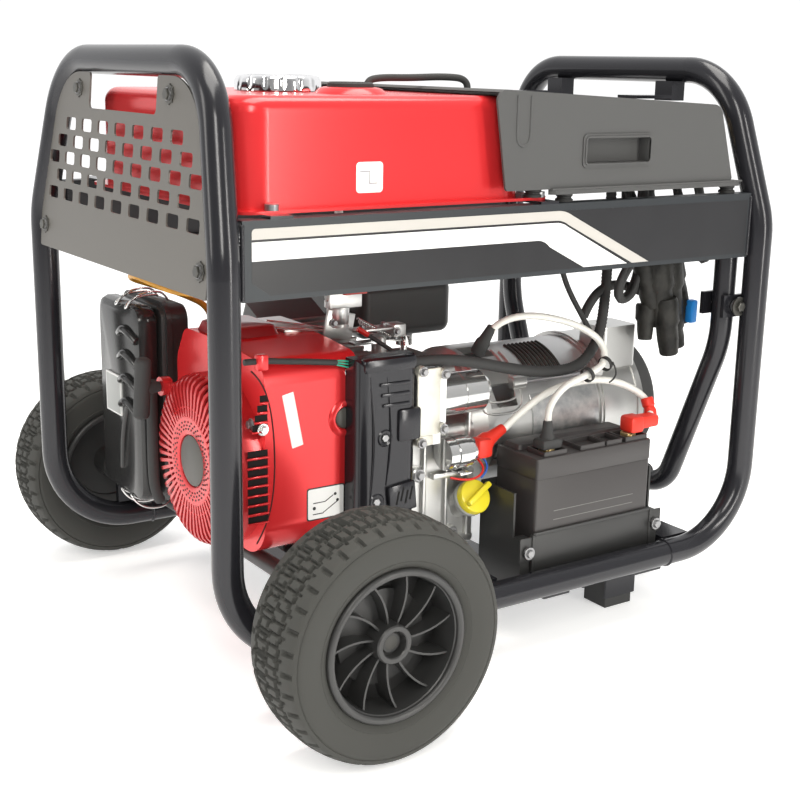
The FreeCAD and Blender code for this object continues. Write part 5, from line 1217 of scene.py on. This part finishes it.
# ---------------------------------------------------------------- battery
def battery():
    """Battery with a lid step, cell recesses, terminal wells and a bolted hold-down plate."""
    low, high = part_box("battery")
    x0, y0, z0 = (v / MM for v in low)
    x1, y1 = high.x / MM, high.y / MM
    top = high.z / MM - 7
    shape = bmesh.new()
    rounded_block(shape, (x0, y0, z0), (x1, y1, top - 26), 3.5, 4, along=(0, 1, 2))
    rounded_block(shape, (x0 - 0.6, y0 - 0.6, top - 27), (x1 + 0.6, y1 + 0.6, top - 0.5), 3.5, 4, along=(0,
            1, 2))
    for wx, wide in ((x0 + 12, 36), (x0 + 68, 40), (x0 + 110, 26), (x1 - 40, 36)):
        wall = 1.6
        for dx, dy, sx, sy in ((0, 0, wide, wall), (0, 30, wide, wall), (0, 0, wall, 30), (wide - wall, 0,
                                                                                           wall, 30)):
            add_box(shape, Vector((wx + dx, y0 + 3 + dy, top - 2)) * MM,
                    Vector((wx + dx + sx, y0 + 3 + dy + sy, top + 5.5)) * MM, 0.5 * MM)
    rounded_block(shape, (x0 + 4, y0 + 40, top - 2), (x1 - 4, y1 - 4, top + 6), 4, 4, along=(0, 1, 2),
                  taper=2)
    put("battery_case", from_bmesh(shape, 30), "frame", "battery_plastic", replaced=["battery"])
    shape = bmesh.new()
    for px in (x0 + 28, x1 - 22):
        add_box(shape, Vector((px - 7, y0 + 11, top - 1)) * MM, Vector((px + 7, y0 + 25, top + 7)) * MM,
                1 * MM)
        add_rod(shape, 4 * MM, Vector((px, y0 + 8, top + 3)) * MM, Vector((px, y0 + 28, top + 3)) * MM, 12,
                0.5 * MM)
    put("battery_posts", from_bmesh(shape), "frame", "battery_plastic", materials["terminal_brass"])
    grey = finish("print_grey", (0.20, 0.20, 0.19), 0.5, bump=0)
    for i, (a, wide) in enumerate(((0, 128), (0, 128))):
        bar = ((x0 + 92 + a, y0 - 0.12, z0 + 92 - 11 * i), (1, 0, 0), (0, 0, 1))
        decal(f"battery_line_{i}", rounded_outline(wide, 0.7, 0.3, 1), bar, grey, slot="battery_plastic",
              depth=0.12)
    shape = bmesh.new()
    add_box(shape, Vector((x0 - 3, y0 - 2.7, z0 + 18)) * MM, Vector((x1 + 3, y0 - 0.2, z0 + 70)) * MM,
            0.8 * MM)
    for ex, side in ((x0 - 3, -1), (x1 + 3, 1)):
        edge = ex + side * 20
        add_box(shape, Vector((min(ex, edge), y0 - 2.7, z0 + 36)) * MM, Vector((max(ex, edge), y0 - 0.2,
                                                                                z0 + 66)) * MM,
                0.8 * MM)
        add_box(shape, Vector((ex - 1.5 + side, y0 - 4, z0 + 22)) * MM, Vector((ex + 1.5 + side, y0 + 2,
                                                                                z0 + 68)) * MM,
                0.8 * MM)
    add_box(shape, Vector((x0 - 2, y0 - 4.2, z0 + 66)) * MM, Vector((x1 + 2, y0 - 0.2, z0 + 70.5)) * MM,
            1 * MM)
    put("hold_down", from_bmesh(shape), "frame", "tray_paint", replaced=["battery_strap"])
    bolts("hold_down_bolts", "frame", "axle_steel",
          [((x, y0 - 6.6, z0 + 48), (0, -1, 0)) for x in (x0 - 12, x1 + 12)], across=9, head=3)


# ---------------------------------------------------------------- frame hardware
def frame_hardware():
    """Screws on the end panel, hub plugs, pull bar collars and cross-member welds."""
    lean = math.radians(5)
    axis = Vector((-math.cos(lean), 0, math.sin(lean)))
    rise = Vector((math.sin(lean), 0, math.cos(lean)))
    foot = Vector((-379.2, 0, 450))
    places = []
    for side in (-1, 1):
        for y, up in ((212, 26), (121, 189)):
            places.append((foot + Vector((0, side * y, 0)) + rise * up + axis * 0.2, axis))
    shape = bmesh.new()
    for place, out in places:
        add_bolt(shape, place * MM, out, across=11, head=4.5, recess=False)
        for i in range(8):
            a = TURN * i / 8
            spot = place + (Vector((0, 1, 0)) * math.cos(a) + rise * math.sin(a)) * 9.5
            add_box(shape, (spot - Vector((1, 1, 1))) * MM, (spot + Vector((1, 1, 1))) * MM, 0.4 * MM)
    dark = finish("dark_steel", (0.10, 0.098, 0.09), 0.4, metal=0.8, bump=0.2)
    put("panel_screws", from_bmesh(shape, 25), "frame", "axle_steel", dark)
    for side, end in ((-1, "front"), (1, "back")):
        shape = bmesh.new()
        cap = [(0, 22.4), (7, 22.4), (10.5, 21), (11.5, 18), (11.5, 13), (0, 13)]
        add_lathe(shape, [(r * MM, (h + 2.2) * MM) for r, h in cap],
                  Vector((WHEEL_X, side * WHEEL_Y, WHEEL_Z)) * MM, (0, side, 0), 36)
        put(f"hub_plug_{end}", from_bmesh(shape), f"wheel_{end}", "rim_plastic",
            finish("hub_grey", (0.05, 0.049, 0.045), 0.5, bump=0.1))
    shape = bmesh.new()
    for side in (-1, 1):
        place = Vector((347, side * 239, 385))
        add_bolt(shape, Vector((347, side * 238.2, 385)) * MM, (0, side, 0), across=11, head=5)
        add_lathe(shape, [(9 * MM, -1 * MM), (12 * MM, -1 * MM), (12 * MM, 1.2 * MM), (9 * MM, 1.2 * MM)],
                  place * MM, (0, side, 0), 28, closed=True)
    put("pivot_heads", from_bmesh(shape, 25), "frame", "axle_steel", dark)
    shape = bmesh.new()
    for x in (-1, 1):
        for side in (-1, 1):
            ring = [(16.2, -1.8), (17.6, -0.8), (17.6, 0.8), (16.2, 1.8)]
            add_lathe(shape, [(r * MM, h * MM) for r, h in ring], Vector((x * 240, side * 243, 81)) * MM,
                      (1, 0, 0),
                      28, closed=True)
    put("rail_welds", from_bmesh(shape, 50), "frame", "black_gloss_paint")


SECTIONS_REST = (air_cleaner, carburettor_details, hoses, leads, battery, frame_hardware)


SECTIONS = (wheels, *SECTIONS_BODY, *SECTIONS_ENGINE, *SECTIONS_REST)


# ---------------------------------------------------------------- build
materials = make_materials()
slots = {part["node"]: part["material_slot"] for part in frame["record"]["subparts"]}
for node, thing in nodes.items():
    thing.data.materials.clear()
    thing.data.materials.append(materials[slots[node]])
for build in SECTIONS:
    build()
add_camera()
add_studio()
